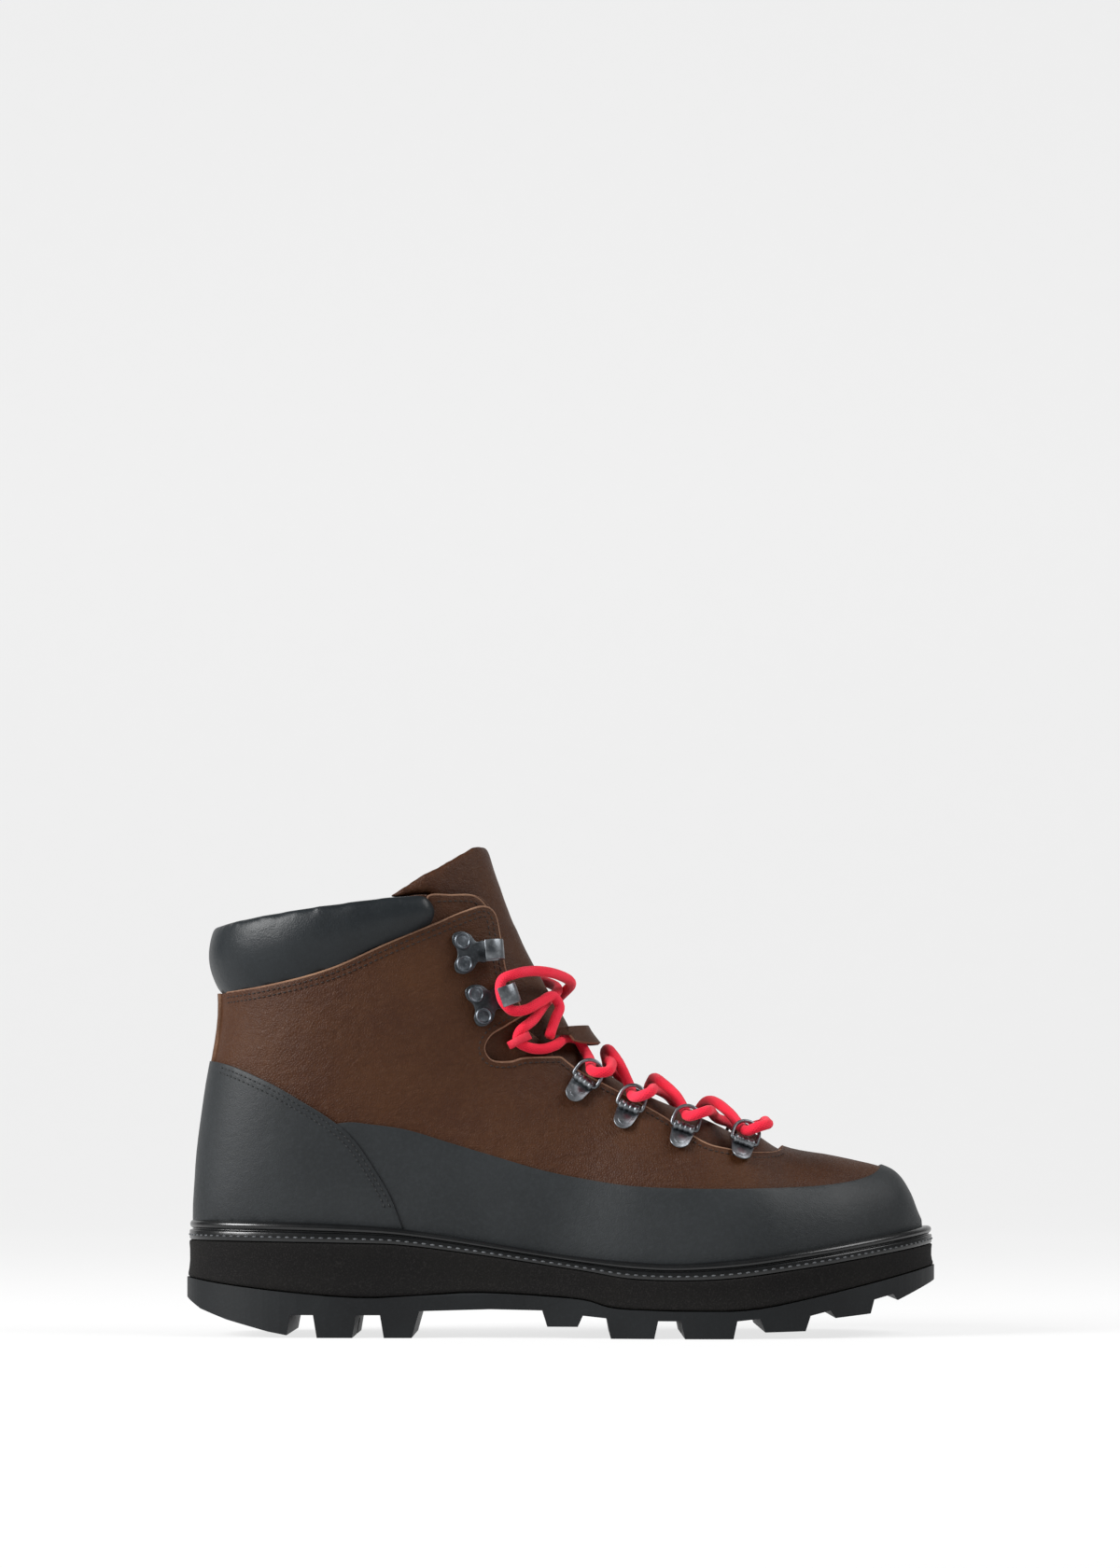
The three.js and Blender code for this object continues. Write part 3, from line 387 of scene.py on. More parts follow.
# The last: the foot-shaped form that the leather is pulled over, in millimetres.
form = {
    "toe": [(142.9, 46, 38), (141.6, 49.5, 31), (139, 56.5, 22), (134.5, 63.5, 13), (128.5, 67.2, 5),
            (117, 70.2, -2), (106, 72.6, -8)],
    "ankle": [
        ((88, 76), (88, -14), None, None, 2.25), ((74, 84.5), (70, -18), None, None, 2.2),
        ((56, 93), (48, -20), None, None, 2.15), ((36, 101.5), (18, -20), None, None, 2.15),
        ((20, 110), (-18, -20), -3, 36, 2.2), ((11, 119), (-55, -19), -2.5, 34.5, 2.3),
        ((6, 127.5), (-95, -14), -1.5, 34.5, 2.4), ((1.5, 136), (-131, 4), 0, 35.5, 2.5),
        ((-3, 144.5), (-147.5, 36), 0, 36.5, 2.45), ((-7.5, 152), (-148.2, 66), 0, 37.5, 2.4),
        ((-11.5, 160), (-144.5, 97), 0, 38, 2.35), ((-16, 170), (-139.5, 128), 0, 38.5, 2.3),
        ((-21, 184), (-140.5, 155), 0, 40, 2.3), ((-27, 203), (-140, 178), 0, 41, 2.3),
        ((-31, 222), (-140, 202), 0, 41.5, 2.3)],
    "footprint": [(-147, 0), (-141.5, -18), (-125, -30), (-98, -35.5), (-60, -36.5), (-20, -38), (20, -44),
                  (55, -48.5), (85, -46), (110, -36.5), (130, -20), (140.5, -4), (143.3, 9), (140, 22),
                  (128, 34.5), (108, 43.5), (82, 47.5), (55, 46.5), (25, 41), (0, 34), (-30, 30), (-60, 30),
                  (-95, 33), (-125, 29.5), (-141.5, 18)],
    "ringsAlong": 120,
    "pointsRound": 112,
}
footprint = roundedCurve(form["footprint"], 8, closed=True)


def spanAt(x):
    found = []
    for (x0, y0), (x1, y1) in zip(footprint, footprint[1:] + footprint[:1]):
        if (x0 - x) * (x1 - x) <= 0 and x0 != x1:
            found.append(y0 + (y1 - y0) * (x - x0) / (x1 - x0))
    return min(found), max(found)


def stationList():
    rows = []
    for x, top, low in form["toe"]:
        a, b = spanAt(min(x, 142.8))
        rows.append((x, top, x, low, (a + b) / 2, (b - a) / 2, 2.35))
    for front, far, y, half, full in form["ankle"]:
        if half is None:
            a, b = spanAt((front[0] + far[0]) / 2)
            y, half = (a + b) / 2, (b - a) / 2
        rows.append((*front, *far, y, half, full))
    return list(zip(*rows))


stationTracks = stationList()


def formRing(place, inset, count):
    frontX, frontZ, farX, farZ, y, half, full = (catmull(track, place) for track in stationTracks)
    toeward = max(0.0, 1 - place / 5) ** 1.5
    cx, cz = (frontX + farX) / 2 - inset * toeward, (frontZ + farZ) / 2
    dx, dz = (frontX - farX) / 2, (frontZ - farZ) / 2
    reach = math.hypot(dx, dz)
    draw = inset * (1 - 0.35 * toeward)
    along = (reach - draw) / reach
    ring = []
    for k in range(count):
        angle = k / count * 2 * math.pi
        c, s = math.cos(angle), math.sin(angle)
        forward = math.copysign(abs(c) ** (2 / full), c) * along
        aside = math.copysign(abs(s) ** (2 / full), s) * (half - draw)
        ring.append((cx + dx * forward, y + aside, cz + dz * forward))
    return ring


def formMesh(inset, start=0.0):
    rings, count = form["ringsAlong"], form["pointsRound"]
    last = len(stationTracks[0]) - 1
    bm = bmesh.new()
    loops = []
    for i in range(rings + 1):
        made = bmesh.ops.create_circle(bm, segments=count, radius=1)["verts"]
        for vert, co in zip(made, formRing(start + i / rings * (last - start), inset, count)):
            vert.co = co
        loops.append(list({e for v in made for e in v.link_edges}))
    for a, b in zip(loops, loops[1:]):
        bmesh.ops.bridge_loops(bm, edges=a + b)
    bmesh.ops.holes_fill(bm, edges=[e for e in bm.edges if e.is_boundary])
    bmesh.ops.recalc_face_normals(bm, faces=bm.faces)
    return bm


formStore = {}


def formSolid(inset, start=0.0):
    key = (round(inset, 2), start)
    if key not in formStore:
        formStore[key] = formMesh(inset, start)
    return formStore[key].copy()


skin = BVHTree.FromBMesh(formSolid(0))


def onSkin(x, z, side, lift=0.0):
    hit, normal, _, _ = skin.ray_cast(Vector((x, side * 300, z)), Vector((0, -side, 0)))
    if hit is None:
        hit, normal, _, _ = skin.find_nearest(Vector((x, side * 10, z)))
    return hit + normal * lift, normal


def prismMesh(outline, yFrom=-120.0, yTo=120.0):
    bm = bmesh.new()
    verts = [bm.verts.new((x, yFrom, z)) for x, z in outline]
    face = bm.faces.new(verts)
    made = bmesh.ops.extrude_face_region(bm, geom=[face])["geom"]
    moved = [v for v in made if isinstance(v, bmesh.types.BMVert)]
    bmesh.ops.translate(bm, verts=moved, vec=(0, yTo - yFrom, 0))
    bmesh.ops.recalc_face_normals(bm, faces=bm.faces)
    if bm.calc_volume(signed=True) < 0:
        bmesh.ops.reverse_faces(bm, faces=bm.faces)
    return bm


def sheetFrom(inset, outline, yFrom=-120.0, yTo=120.0):
    # The form's skin inside a side outline, as an open sheet with clean borders.
    solid = helperObject(formSolid(inset), 2, 0)
    tool = helperObject(prismMesh(outline, yFrom, yTo), 2, 1)
    bm = cutBy(solid, tool, "INTERSECT")
    walls = [f for f in bm.faces if f.material_index == 1]
    bmesh.ops.delete(bm, geom=walls, context="FACES")
    bmesh.ops.remove_doubles(bm, verts=bm.verts, dist=0.02)
    bmesh.ops.dissolve_degenerate(bm, edges=bm.edges, dist=0.02)
    return bm


def leatherPanel(name, inset, outline, wall, materials, nodes, edge=0.45, yFrom=-120.0, yTo=120.0,
                 wrinkle=0.0, shape=None):
    bm = sheetFrom(inset, outline, yFrom, yTo)
    bm.normal_update()
    for vert in bm.verts:
        if wrinkle:
            vert.co += vert.normal * wrinkle * noise.noise(Vector(vert.co) * 0.045)
        if shape:
            vert.co += vert.normal * shape(vert.co)
    obj = finishMesh(name, bm, materials, "boot", nodes)
    solid = obj.modifiers.new("thickness", "SOLIDIFY")
    solid.thickness = wall * mm
    solid.offset = -1
    solid.material_offset_rim = 1
    solid.use_even_offset = True
    bevel = obj.modifiers.new("rounded", "BEVEL")
    bevel.width = edge * mm
    bevel.segments = 2
    bevel.material = 1
    bevel.limit_method = "ANGLE"
    bevel.angle_limit = math.radians(50)


# Outlines of the pieces seen from the side, in millimetres.
creaseLine = [(-170, 48), (-146, 47.5), (-105, 46.5), (-65, 44), (-15, 36), (6, 33), (28, 31), (45, 30.4),
              (71, 32.4), (92, 35.4), (114, 39), (143, 44.2), (170, 50)]
weltLine = [(-170, 38.4), (-150, 38), (-83, 37), (-62, 36), (-31, 32), (6, 26.4), (28, 23), (60, 23), (92, 27),
            (120, 31.5), (146, 36), (170, 41)]
midsoleLine = [(-170, 25), (-152, 23.5), (-135, 21), (-109, 18), (-83, 16), (-62, 16.5), (-41, 18), (-21, 17.6),
               (6, 15.5), (20, 12), (49, 11), (76, 12), (114, 20), (150, 28.5), (170, 33)]
smoothCrease = roundedCurve(creaseLine, 5)
smoothWelt = roundedCurve(weltLine, 5)
smoothMidsole = roundedCurve(midsoleLine, 5)
collarUnder = [(-160, 137.5), (-138.6, 137), (-118, 139.5), (-94, 145.5), (-70, 156), (-52, 163.5)]
collarTop = [(-56, 175), (-75, 173.2), (-110, 168.5), (-135.5, 164.5), (-160, 161)]
quarterEdge = roundedCurve([(-52, 163.5), (-40, 168.8), (-32.5, 171), (-28.2, 167.9), (-26, 157.3), (-23.7, 144.4),
                            (-16.8, 128.2)], 5)
notchEdge = roundedCurve([(-16.8, 128.2), (-23.9, 123.8), (-29.9, 120), (-32.6, 114.6), (-29.6, 109.7),
                          (-21.9, 109.2), (-16, 110.8), (-2, 111.2)], 5)
throatEdge = roundedCurve([(-2, 111.2), (5, 105.8), (16, 100), (36.7, 88.7), (53.5, 77.9), (63, 74.9),
                           (75.7, 73.2), (85.2, 74.1), (88.6, 78.5)], 5)
capEdge = roundedCurve([(-170, 112), (-141, 109.7), (-120, 101.7), (-104, 92.8), (-92.5, 85.6), (-84.2, 78.3),
                        (-76, 66.4), (-69.7, 55.5), (-65, 43)], 5)
randEdge = roundedCurve([(-110, 79), (-89.4, 84.8), (-76.9, 84.2), (-62.4, 82), (-46.9, 77.3), (-26, 71),
                         (-10.6, 66.5), (6, 63), (28, 59.8), (60, 58.9), (92.5, 59.6), (112, 61.6),
                         (123.4, 65), (131, 71), (150, 82)], 5)
bottomOfUpper = [(x, z - 1.0) for x, z in reversed(smoothWelt)]
underCrease = [(x, z - 3.0) for x, z in reversed(smoothCrease)]


def ankleCreases(co):
    # Shallow folds behind the ankle and where the instep bends.
    near = math.exp(-(((co[0] + 104) / 26) ** 2 + ((co[2] - 118) / 17) ** 2))
    instep = math.exp(-(((co[0] + 8) / 20) ** 2 + ((co[2] - 88) / 14) ** 2))
    wave = math.sin(co[2] * 0.95 + 0.22 * co[0] + 3 * noise.noise(Vector(co) * 0.05))
    return 0.16 * near * wave + 0.14 * instep * math.sin(co[0] * 0.5 + co[2] * 0.8)


def buildUpper():
    under = roundedCurve(collarUnder, 4)
    outline = [(-170, 137.5)] + under[1:-1] + quarterEdge[:-1] + notchEdge[:-1] + throatEdge
    outline += [(100, 95), (170, 95)] + bottomOfUpper
    quarters = [n for n in frame["nodes"] if n in ("upper", "inner_quarter")]
    leatherPanel("upper_leather", 0, outline, 2.0, ["brown", "rawEdge"], quarters,
                 wrinkle=0.25, shape=ankleCreases)
    cap = capEdge + [p for p in underCrease if p[0] < -66]
    leatherPanel("heel_cap_leather", -1.9, cap, 1.9, ["charcoal", "greyEdge"], ["heel_cap"])
    start = [p for p in randEdge if p[0] > -100]
    rand = [(-100, 60)] + start + [(170, 90)] + [p for p in underCrease if p[0] > -100]
    leatherPanel("toe_rand_leather", -1.1, rand, 1.1, ["charcoal", "greyEdge"], ["toe_rand"],
                 edge=0.3)
    strip = [(-170, 108), (-130, 106), (-130, 137.2), (-170, 137.2)]
    leatherPanel("back_strip_leather", -1.3, strip, 1.3, ["brown", "rawEdge"], ["back_strip"],
                 yFrom=-8.5, yTo=8.5)
    for label, side in (("outer", -1), ("inner", 1)):
        half = (-120, -2) if side < 0 else (2, 120)
        tab = roundedCurve([(-58, 160), (-55.6, 171), (-53.6, 175.2), (-45, 175.4), (-36, 175.6), (-30.8, 171.7),
                            (-27.8, 165), (-28.5, 152)], 4)
        tab += [(-48, 150)]
        leatherPanel(f"facing_tab_leather_{label}", 1.9, tab, 1.5, ["brown", "rawEdge"],
                     [f"facing_tab_{label}"], yFrom=half[0], yTo=half[1])
        gusset = [(-38, 124), (-26, 130), (-18, 124), (-6, 114.5), (-4, 106), (-20, 104.5), (-38, 107)]
        leatherPanel(f"gusset_leather_{label}", 2.2, gusset, 1.2, ["brown", "rawEdge"], [f"gusset_{label}"],
                     yFrom=half[0], yTo=half[1])


buildUpper()
print("upper built")


stitch = {"length": 1.75, "step": 2.3, "radius": 0.27, "lift": 0.12}


def offsetLine(line, amount):
    # A side-view line moved sideways; positive is to the left of its direction.
    out = []
    for i, (x, z) in enumerate(line):
        (x0, z0), (x1, z1) = line[max(i - 1, 0)], line[min(i + 1, len(line) - 1)]
        run = math.hypot(x1 - x0, z1 - z0) or 1
        out.append((x - amount * (z1 - z0) / run, z + amount * (x1 - x0) / run))
    return out


def stitchPath(bm, path, look):
    marks = spaced(path, look["step"] / 4)
    for i in range(2, len(marks) - 3, 4):
        along = marks[i + 1] - marks[i - 1]
        if along.length < 1e-6:
            continue
        turn = along.to_track_quat("X", "Z").to_matrix().to_4x4()
        size = Matrix.Diagonal((look["length"] / 2, look["radius"], look["radius"], 1))
        bmesh.ops.create_uvsphere(bm, u_segments=6, v_segments=4, radius=1,
                                  matrix=Matrix.Translation(marks[i]) @ turn @ size)


def stitchRows(name, lines, thread, lift=0.0, sides=(-1, 1)):
    bm = bmesh.new()
    for line in lines:
        for side in sides:
            stitchPath(bm, [onSkin(x, z, side, lift + stitch["lift"])[0] for x, z in line], stitch)
    finishMesh(name, bm, [thread])


def buildStitches():
    seam = [p for p in roundedCurve(collarUnder, 8) if p[0] > -137] + quarterEdge[1:]
    stitchRows("collar_seam_stitches", [offsetLine(seam, -1.9), offsetLine(seam, -4.0)], "thread")
    stitchRows("throat_stitches", [offsetLine(notchEdge[3:-1] + throatEdge[:-4], -2.0)], "thread")
    cap = [p for p in capEdge if -141 < p[0] and p[1] > 50]
    stitchRows("heel_cap_stitches", [offsetLine(cap, -1.5), offsetLine(cap, -3.6)], "blackThread", lift=1.9)
    ahead = [(-2, 58 + 2.5 * i) for i in range(20)]
    stitchRows("quarter_seam_stitches", [ahead, [(x + 2.4, z) for x, z in ahead]], "thread", sides=(1,))
    tab = roundedCurve([(-51, 172.6), (-44, 173), (-36.5, 173), (-32.6, 170.2), (-30.2, 165)], 5)
    stitchRows("facing_tab_stitches", [tab], "thread", lift=-1.9)


buildStitches()
print("stitches sewn")


soft = {"voxel": 1.7, "collarBulge": 2.6, "collarTuck": 2.6, "wrinkle": 0.32, "smoothing": 8}


def closedWall(outer, inner, outline, yFrom=-120.0, yTo=120.0, start=0.0):
    block = cutBy(helperObject(formSolid(outer, start)), helperObject(prismMesh(outline, yFrom, yTo)), "INTERSECT")
    return cutBy(helperObject(block), helperObject(formSolid(inner, max(start - 0.15, 0))), "DIFFERENCE")


def softPiece(name, bm, material, nodes, shape):
    raw = helperObject(bm)
    remesh = raw.modifiers.new("remesh", "REMESH")
    remesh.mode = "VOXEL"
    remesh.voxel_size = soft["voxel"]
    ease = raw.modifiers.new("ease", "SMOOTH")
    ease.factor = 0.5
    ease.iterations = soft["smoothing"]
    bm = evaluated(raw)
    bm.normal_update()
    for vert in bm.verts:
        vert.co += vert.normal * shape(vert.co, vert.normal)
    obj = finishMesh(name, bm, [material], "boot", nodes)
    fine = obj.modifiers.new("fine", "SUBSURF")
    fine.levels = fine.render_levels = 1
    return obj


def collarShape(co, normal):
    across = Vector((co[0] + 95, co[1] * 1.6, 0)).normalized()
    outward = min(max((normal.dot(across) + 0.3) / 0.9, 0), 1)
    outward = outward * outward * (3 - 2 * outward)
    low, high = lineHeight(collarUnder, co[0]), lineHeight(list(reversed(collarTop)), co[0])
    t = min(max((co[2] - low) / (high - low), 0), 1)
    puff = soft["collarBulge"] * math.sin(math.pi * t) - soft["collarTuck"] * (1 - t) ** 3
    fold = soft["wrinkle"] * noise.noise(Vector((co[0] * 0.09, co[1] * 0.09, co[2] * 0.03)))
    return 0.3 + outward * (puff * 0.8 + fold)


def tongueShape(co, normal):
    fold = noise.noise(Vector((co[0] * 0.06, co[1] * 0.05, co[2] * 0.12)))
    return 0.3 + 0.45 * fold


tongueOutline = [(-73, 173.4), (-60, 175.4), (-53, 176), (-50, 163), (-46, 150), (-35, 128), (-30, 104), (-8, 94),
                 (30, 78), (56, 66), (84, 64), (89, 66), (89, 120), (40, 150), (8, 180), (0, 196.6), (-31, 197.2),
                 (-37, 196), (-45, 190.5)]


def buildSoft():
    pad = [(x, z - 1.6) for x, z in roundedCurve(collarUnder, 4)] + roundedCurve(collarTop, 4)
    softPiece("collar_padded", closedWall(-1.6, 6, pad), "collar", ["collar_pad"], collarShape)
    softPiece("tongue_padded", closedWall(6.7, 11.7, tongueOutline, start=6.2), "brown", ["tongue_top", "tongue_lower"],
              tongueShape)
    inside = [(x, z - 0.3) for x, z in collarUnder if x < -69] + [(-64, 158.4), (-47.6, 149.4), (-36.7, 127.5),
              (-31.3, 103), (-8.8, 92.6), (29.5, 76.4), (55.7, 64.4), (84.5, 62.4), (90.5, 66), (96, 74),
              (100, 90), (170, 90)] + [(x, z + 5.3) for x, z in reversed(smoothWelt)]
    leatherPanel("lining_textile", 3.9, inside, 1.3, ["lining", "lining"], liningNodes, edge=0.2)
    low = [(x, z + 5.4) for x, z in smoothWelt]
    high = [(x, z + 9.2) for x, z in reversed(smoothWelt)]
    bed = cutBy(helperObject(formSolid(5.6)), helperObject(prismMesh(low + high)), "INTERSECT")
    obj = finishMesh("footbed_foam", bed, ["lining"], "boot", ["footbed"])
    roundEdges(obj, 0.6, 3)


def roundEdges(obj, width, segments=2, limit=40):
    bevel = obj.modifiers.new("rounded", "BEVEL")
    bevel.width = width * mm
    bevel.segments = segments
    bevel.limit_method = "ANGLE"
    bevel.angle_limit = math.radians(limit)


liningNodes = [n for n in frame["nodes"] if n.startswith("lining")]
buildSoft()
print("collar, tongue and lining padded")


def loftBm(loops, closed=False):
    bm = bmesh.new()
    rings = []
    for loop in loops:
        made = bmesh.ops.create_circle(bm, segments=len(loop), radius=1)["verts"]
        for vert, co in zip(made, loop):
            vert.co = co
        rings.append(list({e for v in made for e in v.link_edges}))
    pairs = list(zip(rings, rings[1:])) + ([(rings[-1], rings[0])] if closed else [])
    for a, b in pairs:
        bmesh.ops.bridge_loops(bm, edges=a + b)
    if not closed:
        bmesh.ops.holes_fill(bm, edges=[e for e in bm.edges if e.is_boundary])
    bmesh.ops.recalc_face_normals(bm, faces=bm.faces)
    return bm


def planNormals(loop):
    out = []
    count = len(loop)
    for i in range(count):
        (x0, y0), (x1, y1) = loop[i - 1], loop[(i + 1) % count]
        run = math.hypot(x1 - x0, y1 - y0)
        out.append(((y1 - y0) / run, -(x1 - x0) / run))
    centre = (sum(p[0] for p in loop) / count, sum(p[1] for p in loop) / count)
    pushed = sum((p[0] - centre[0]) * n[0] + (p[1] - centre[1]) * n[1] for p, n in zip(loop, out))
    return out if pushed > 0 else [(-a, -b) for a, b in out]


def evenLoop(loop, count):
    path = spaced([(x, y, 0) for x, y in loop + loop[:1]], 0.5)
    return [tuple(path[int(i * len(path) / count)][:2]) for i in range(count)]


plan = evenLoop(footprint, 300)
planOut = planNormals(plan)


def planAt(reach):
    return [(x + nx * reach, y + ny * reach) for (x, y), (nx, ny) in zip(plan, planOut)]


sole = {
    # reach beyond the upper, share of the height
    "welt": [(-3, 0), (4.4, 0), (4.9, 0.04), (5.0, 0.1), (5.0, 0.42), (4.8, 0.47), (3.9, 0.5), (3.7, 0.53),
             (3.8, 0.57), (4.4, 0.6), (4.75, 0.68), (4.8, 0.78), (4.4, 0.88), (3.6, 0.95), (2.6, 0.98), (1.0, 0.99),
             (-3, 1.0)],
    "midsole": [(5.0, 0), (5.5, 0.03), (5.5, 0.1), (5.15, 0.22), (4.85, 0.45), (4.9, 0.75), (5.1, 0.93), (5.0, 0.98),
                (4.6, 1.0)],
}


def soleLayer(name, profile, lower, upper, lowerRise, upperRise, materials, nodes, closed):
    loops = []
    for reach, share in profile:
        loop = []
        for (x, y), (cx, _) in zip(planAt(reach), plan):
            low = lineHeight(lower, x) + lowerRise
            high = lineHeight(upper, x) + upperRise
            loop.append((x, y, low + (high - low) * share))
        loops.append(loop)
    finishMesh(name, loftBm(loops, closed=closed), materials, "boot", nodes)


def buildSole():
    soleLayer("welt_rubber_strip", sole["welt"], smoothWelt, smoothCrease, 0.3, -0.9, ["welt"], ["welt"],
              True)
    soleLayer("midsole_foam", sole["midsole"], smoothMidsole, smoothWelt, 0, 0.1, ["midsole"], ["midsole"],
              False)
    row = bmesh.new()
    path = []
    for (x, y), out in zip(planAt(5.05), planOut):
        low, high = lineHeight(smoothWelt, x) + 0.3, lineHeight(smoothCrease, x) - 0.9
        path.append((x, y, low + (high - low) * 0.24))
    stitchPath(row, path + path[:1], {"length": 2.1, "step": 3.4, "radius": 0.36})
    finishMesh("welt_stitches", row, ["weltThread"])


buildSole()

soleUnder = [(-153, 15.5), (-146, 11), (-135, 7), (-118, 2.4), (-110.5, 1), (-109, 9), (-100, 9), (-98.5, 0),
             (-84.5, 0), (-83, 9), (-73.5, 9), (-72, 0), (-61, 0), (-58, 10.6), (-44, 11.2), (-30, 11.4), (-9.5, 11),
             (-7.5, 4.6), (4.5, 4.6), (6.5, 9), (16, 8), (17.5, 0), (34.5, 0), (36, 7), (45, 7), (46.5, 0),
             (65.5, 0), (67, 7), (76, 8), (78, 2.6), (94, 3), (96, 9), (104, 11), (106, 8), (120.5, 9.5), (122, 15),
             (130, 17), (132, 14.5), (150, 22.5)]
treads = {
    # grooves cut up into the lugs: centre x, centre y, length, width, turn in degrees, depth top
    "channels": [(-79.5, 0, 37, 9, 0, 6.5), (41.5, 0, 49, 9, 0, 5.0), (-128, 0, 34, 6, 0, 9.5),
                 (99, -2, 40, 6, 0, 8.0)],
    "sipes": [(-91, -24, 26, 2.2, 62, 5), (-91, 24, 26, 2.2, -62, 5), (-66, -24, 26, 2.2, 118, 5),
              (-66, 24, 26, 2.2, -118, 5), (26, -30, 34, 2.4, 66, 4.5), (26, 26, 34, 2.4, -66, 4.5),
              (56, -32, 34, 2.4, 114, 4.5), (56, 28, 34, 2.4, -114, 4.5), (86, -28, 34, 2.4, 70, 6),
              (86, 28, 34, 2.4, -70, 6), (112, -22, 26, 2.4, 60, 12), (112, 24, 26, 2.4, -60, 12),
              (-126, -18, 20, 2.4, 60, 7), (-126, 18, 20, 2.4, -60, 7)],
}


def boxCutter(x, y, length, width, turn, top):
    bm = bmesh.new()
    bmesh.ops.create_cube(bm, size=1, matrix=Matrix.Translation((x, y, (top - 6) / 2))
                          @ Matrix.Rotation(math.radians(turn), 4, "Z")
                          @ Matrix.Diagonal((length, width, top + 6, 1)))
    return helperObject(bm)


def buildOutsole():
    under = [(-170, 15.5)] + soleUnder + [(170, 22.5)] + [(x, z - 0.3) for x, z in reversed(smoothMidsole)]
    slabPlan = bmesh.new()
    face = slabPlan.faces.new([slabPlan.verts.new((x, y, -5)) for x, y in planAt(6.0)])
    made = bmesh.ops.extrude_face_region(slabPlan, geom=[face])["geom"]
    bmesh.ops.translate(slabPlan, verts=[v for v in made if isinstance(v, bmesh.types.BMVert)], vec=(0, 0, 70))
    bmesh.ops.recalc_face_normals(slabPlan, faces=slabPlan.faces)
    bm = cutBy(helperObject(prismMesh(under)), helperObject(slabPlan), "INTERSECT")
    for cut in treads["channels"] + treads["sipes"]:
        bm = cutBy(helperObject(bm), boxCutter(*cut), "DIFFERENCE")
    bmesh.ops.remove_doubles(bm, verts=bm.verts, dist=0.01)
    bmesh.ops.dissolve_limit(bm, angle_limit=math.radians(2), verts=bm.verts, edges=bm.edges)
    obj = finishMesh("outsole_lugged", bm, ["outsole"], "boot", ["outsole"], shade=False)
    roundEdges(obj, 0.7, 2, 35)


buildOutsole()
print("sole stacked")


hardware = {"sheet": 0.8, "clipWidth": 9.5, "clipLength": 10, "plateLift": 0.8, "wire": 1.5, "ringInner": 9.0,
            "ringHeight": 9.0, "ringLean": 32, "barrelHeight": 2.7, "hookSheet": 1.2, "hookWidth": 8,
            "rivetSpread": 4.6, "rivetBack": -5.0}


def jointFrame(joint):
    # Holder frame of one ring: x along its bar, z off the leather.
    pivot = fromFrame(Vector(joint["pos_m"]))
    axis = Vector(joint["axis"]).normalized()
    side = -1 if pivot[1] < 0 else 1
    _, normal = onSkin(pivot[0], pivot[2], side)
    normal = (normal - axis * normal.dot(axis)).normalized()
    up = normal.cross(axis)
    turn = Matrix((axis, up, normal)).transposed().to_4x4()
    return Matrix.Translation(pivot - normal * hardware["barrelHeight"]) @ turn


def skinFrame(x, z, side, slope):
    h = 2.0
    place, _ = onSkin(x, z, side)
    slopeX = (onSkin(x + h, z, side)[0][1] - onSkin(x - h, z, side)[0][1]) / (2 * h)
    slopeZ = (onSkin(x, z + h, side)[0][1] - onSkin(x, z - h, side)[0][1]) / (2 * h)
    normal = (Vector((-slopeX, 1, -slopeZ)) * side).normalized()
    angle = math.radians(slope)
    along = Vector((side * math.cos(angle), 0, side * math.sin(angle)))
    along = (along - normal * along.dot(normal)).normalized()
    turn = Matrix((along, normal.cross(along), normal)).transposed().to_4x4()
    return Matrix.Translation(place) @ turn


def plateBm(outline, low, thickness, edge):
    bm = bmesh.new()
    face = bm.faces.new([bm.verts.new((x, y, low)) for x, y in outline])
    made = bmesh.ops.extrude_face_region(bm, geom=[face])["geom"]
    bmesh.ops.translate(bm, verts=[v for v in made if isinstance(v, bmesh.types.BMVert)], vec=(0, 0, thickness))
    bmesh.ops.recalc_face_normals(bm, faces=bm.faces)
    bmesh.ops.bevel(bm, geom=[e for e in bm.edges if e.calc_face_angle(0) > 0.9], offset=edge, segments=2,
                    profile=0.5, affect="EDGES", material=-1)
    return bm


def spunBm(profile, steps=28, axis=(1, 0, 0), across=(0, 0, 1)):
    # A profile of (along, radius) turned about an axis.
    bm = bmesh.new()
    axis, across = Vector(axis), Vector(across)
    verts = [bm.verts.new(axis * a + across * r) for a, r in profile]
    edges = [bm.edges.new(pair) for pair in zip(verts, verts[1:])]
    bmesh.ops.spin(bm, geom=verts + edges, cent=(0, 0, 0), axis=axis, angle=2 * math.pi, steps=steps, use_merge=True)
    bmesh.ops.remove_doubles(bm, verts=bm.verts, dist=0.0005)
    bmesh.ops.holes_fill(bm, edges=[e for e in bm.edges if e.is_boundary])
    bmesh.ops.recalc_face_normals(bm, faces=bm.faces)
    return bm


def joined(parts):
    bm = bmesh.new()
    for part, matrix in parts:
        mesh = bpy.data.meshes.new("part")
        part.transform(matrix)
        part.to_mesh(mesh)
        part.free()
        bm.from_mesh(mesh)
        bpy.data.meshes.remove(mesh)
    return bm


def tubeBm(points, radius, sections, closed=False, wobble=0.0):
    path = [Vector(p) for p in points]
    count = len(path)
    loops = []
    side = None
    for i, p in enumerate(path):
        before = path[(i - 1) % count] if closed else path[max(i - 1, 0)]
        after = path[(i + 1) % count] if closed else path[min(i + 1, count - 1)]
        along = (after - before).normalized()
        side = side if side is not None else along.orthogonal()
        side = (side - along * side.dot(along)).normalized()
        other = along.cross(side)
        size = radius * (1 + wobble * noise.noise(p * 0.35))
        loops.append([p + (side * math.cos(a) + other * math.sin(a)) * size
                      for a in (2 * math.pi * k / sections for k in range(sections))])
    return loftBm(loops, closed=closed)


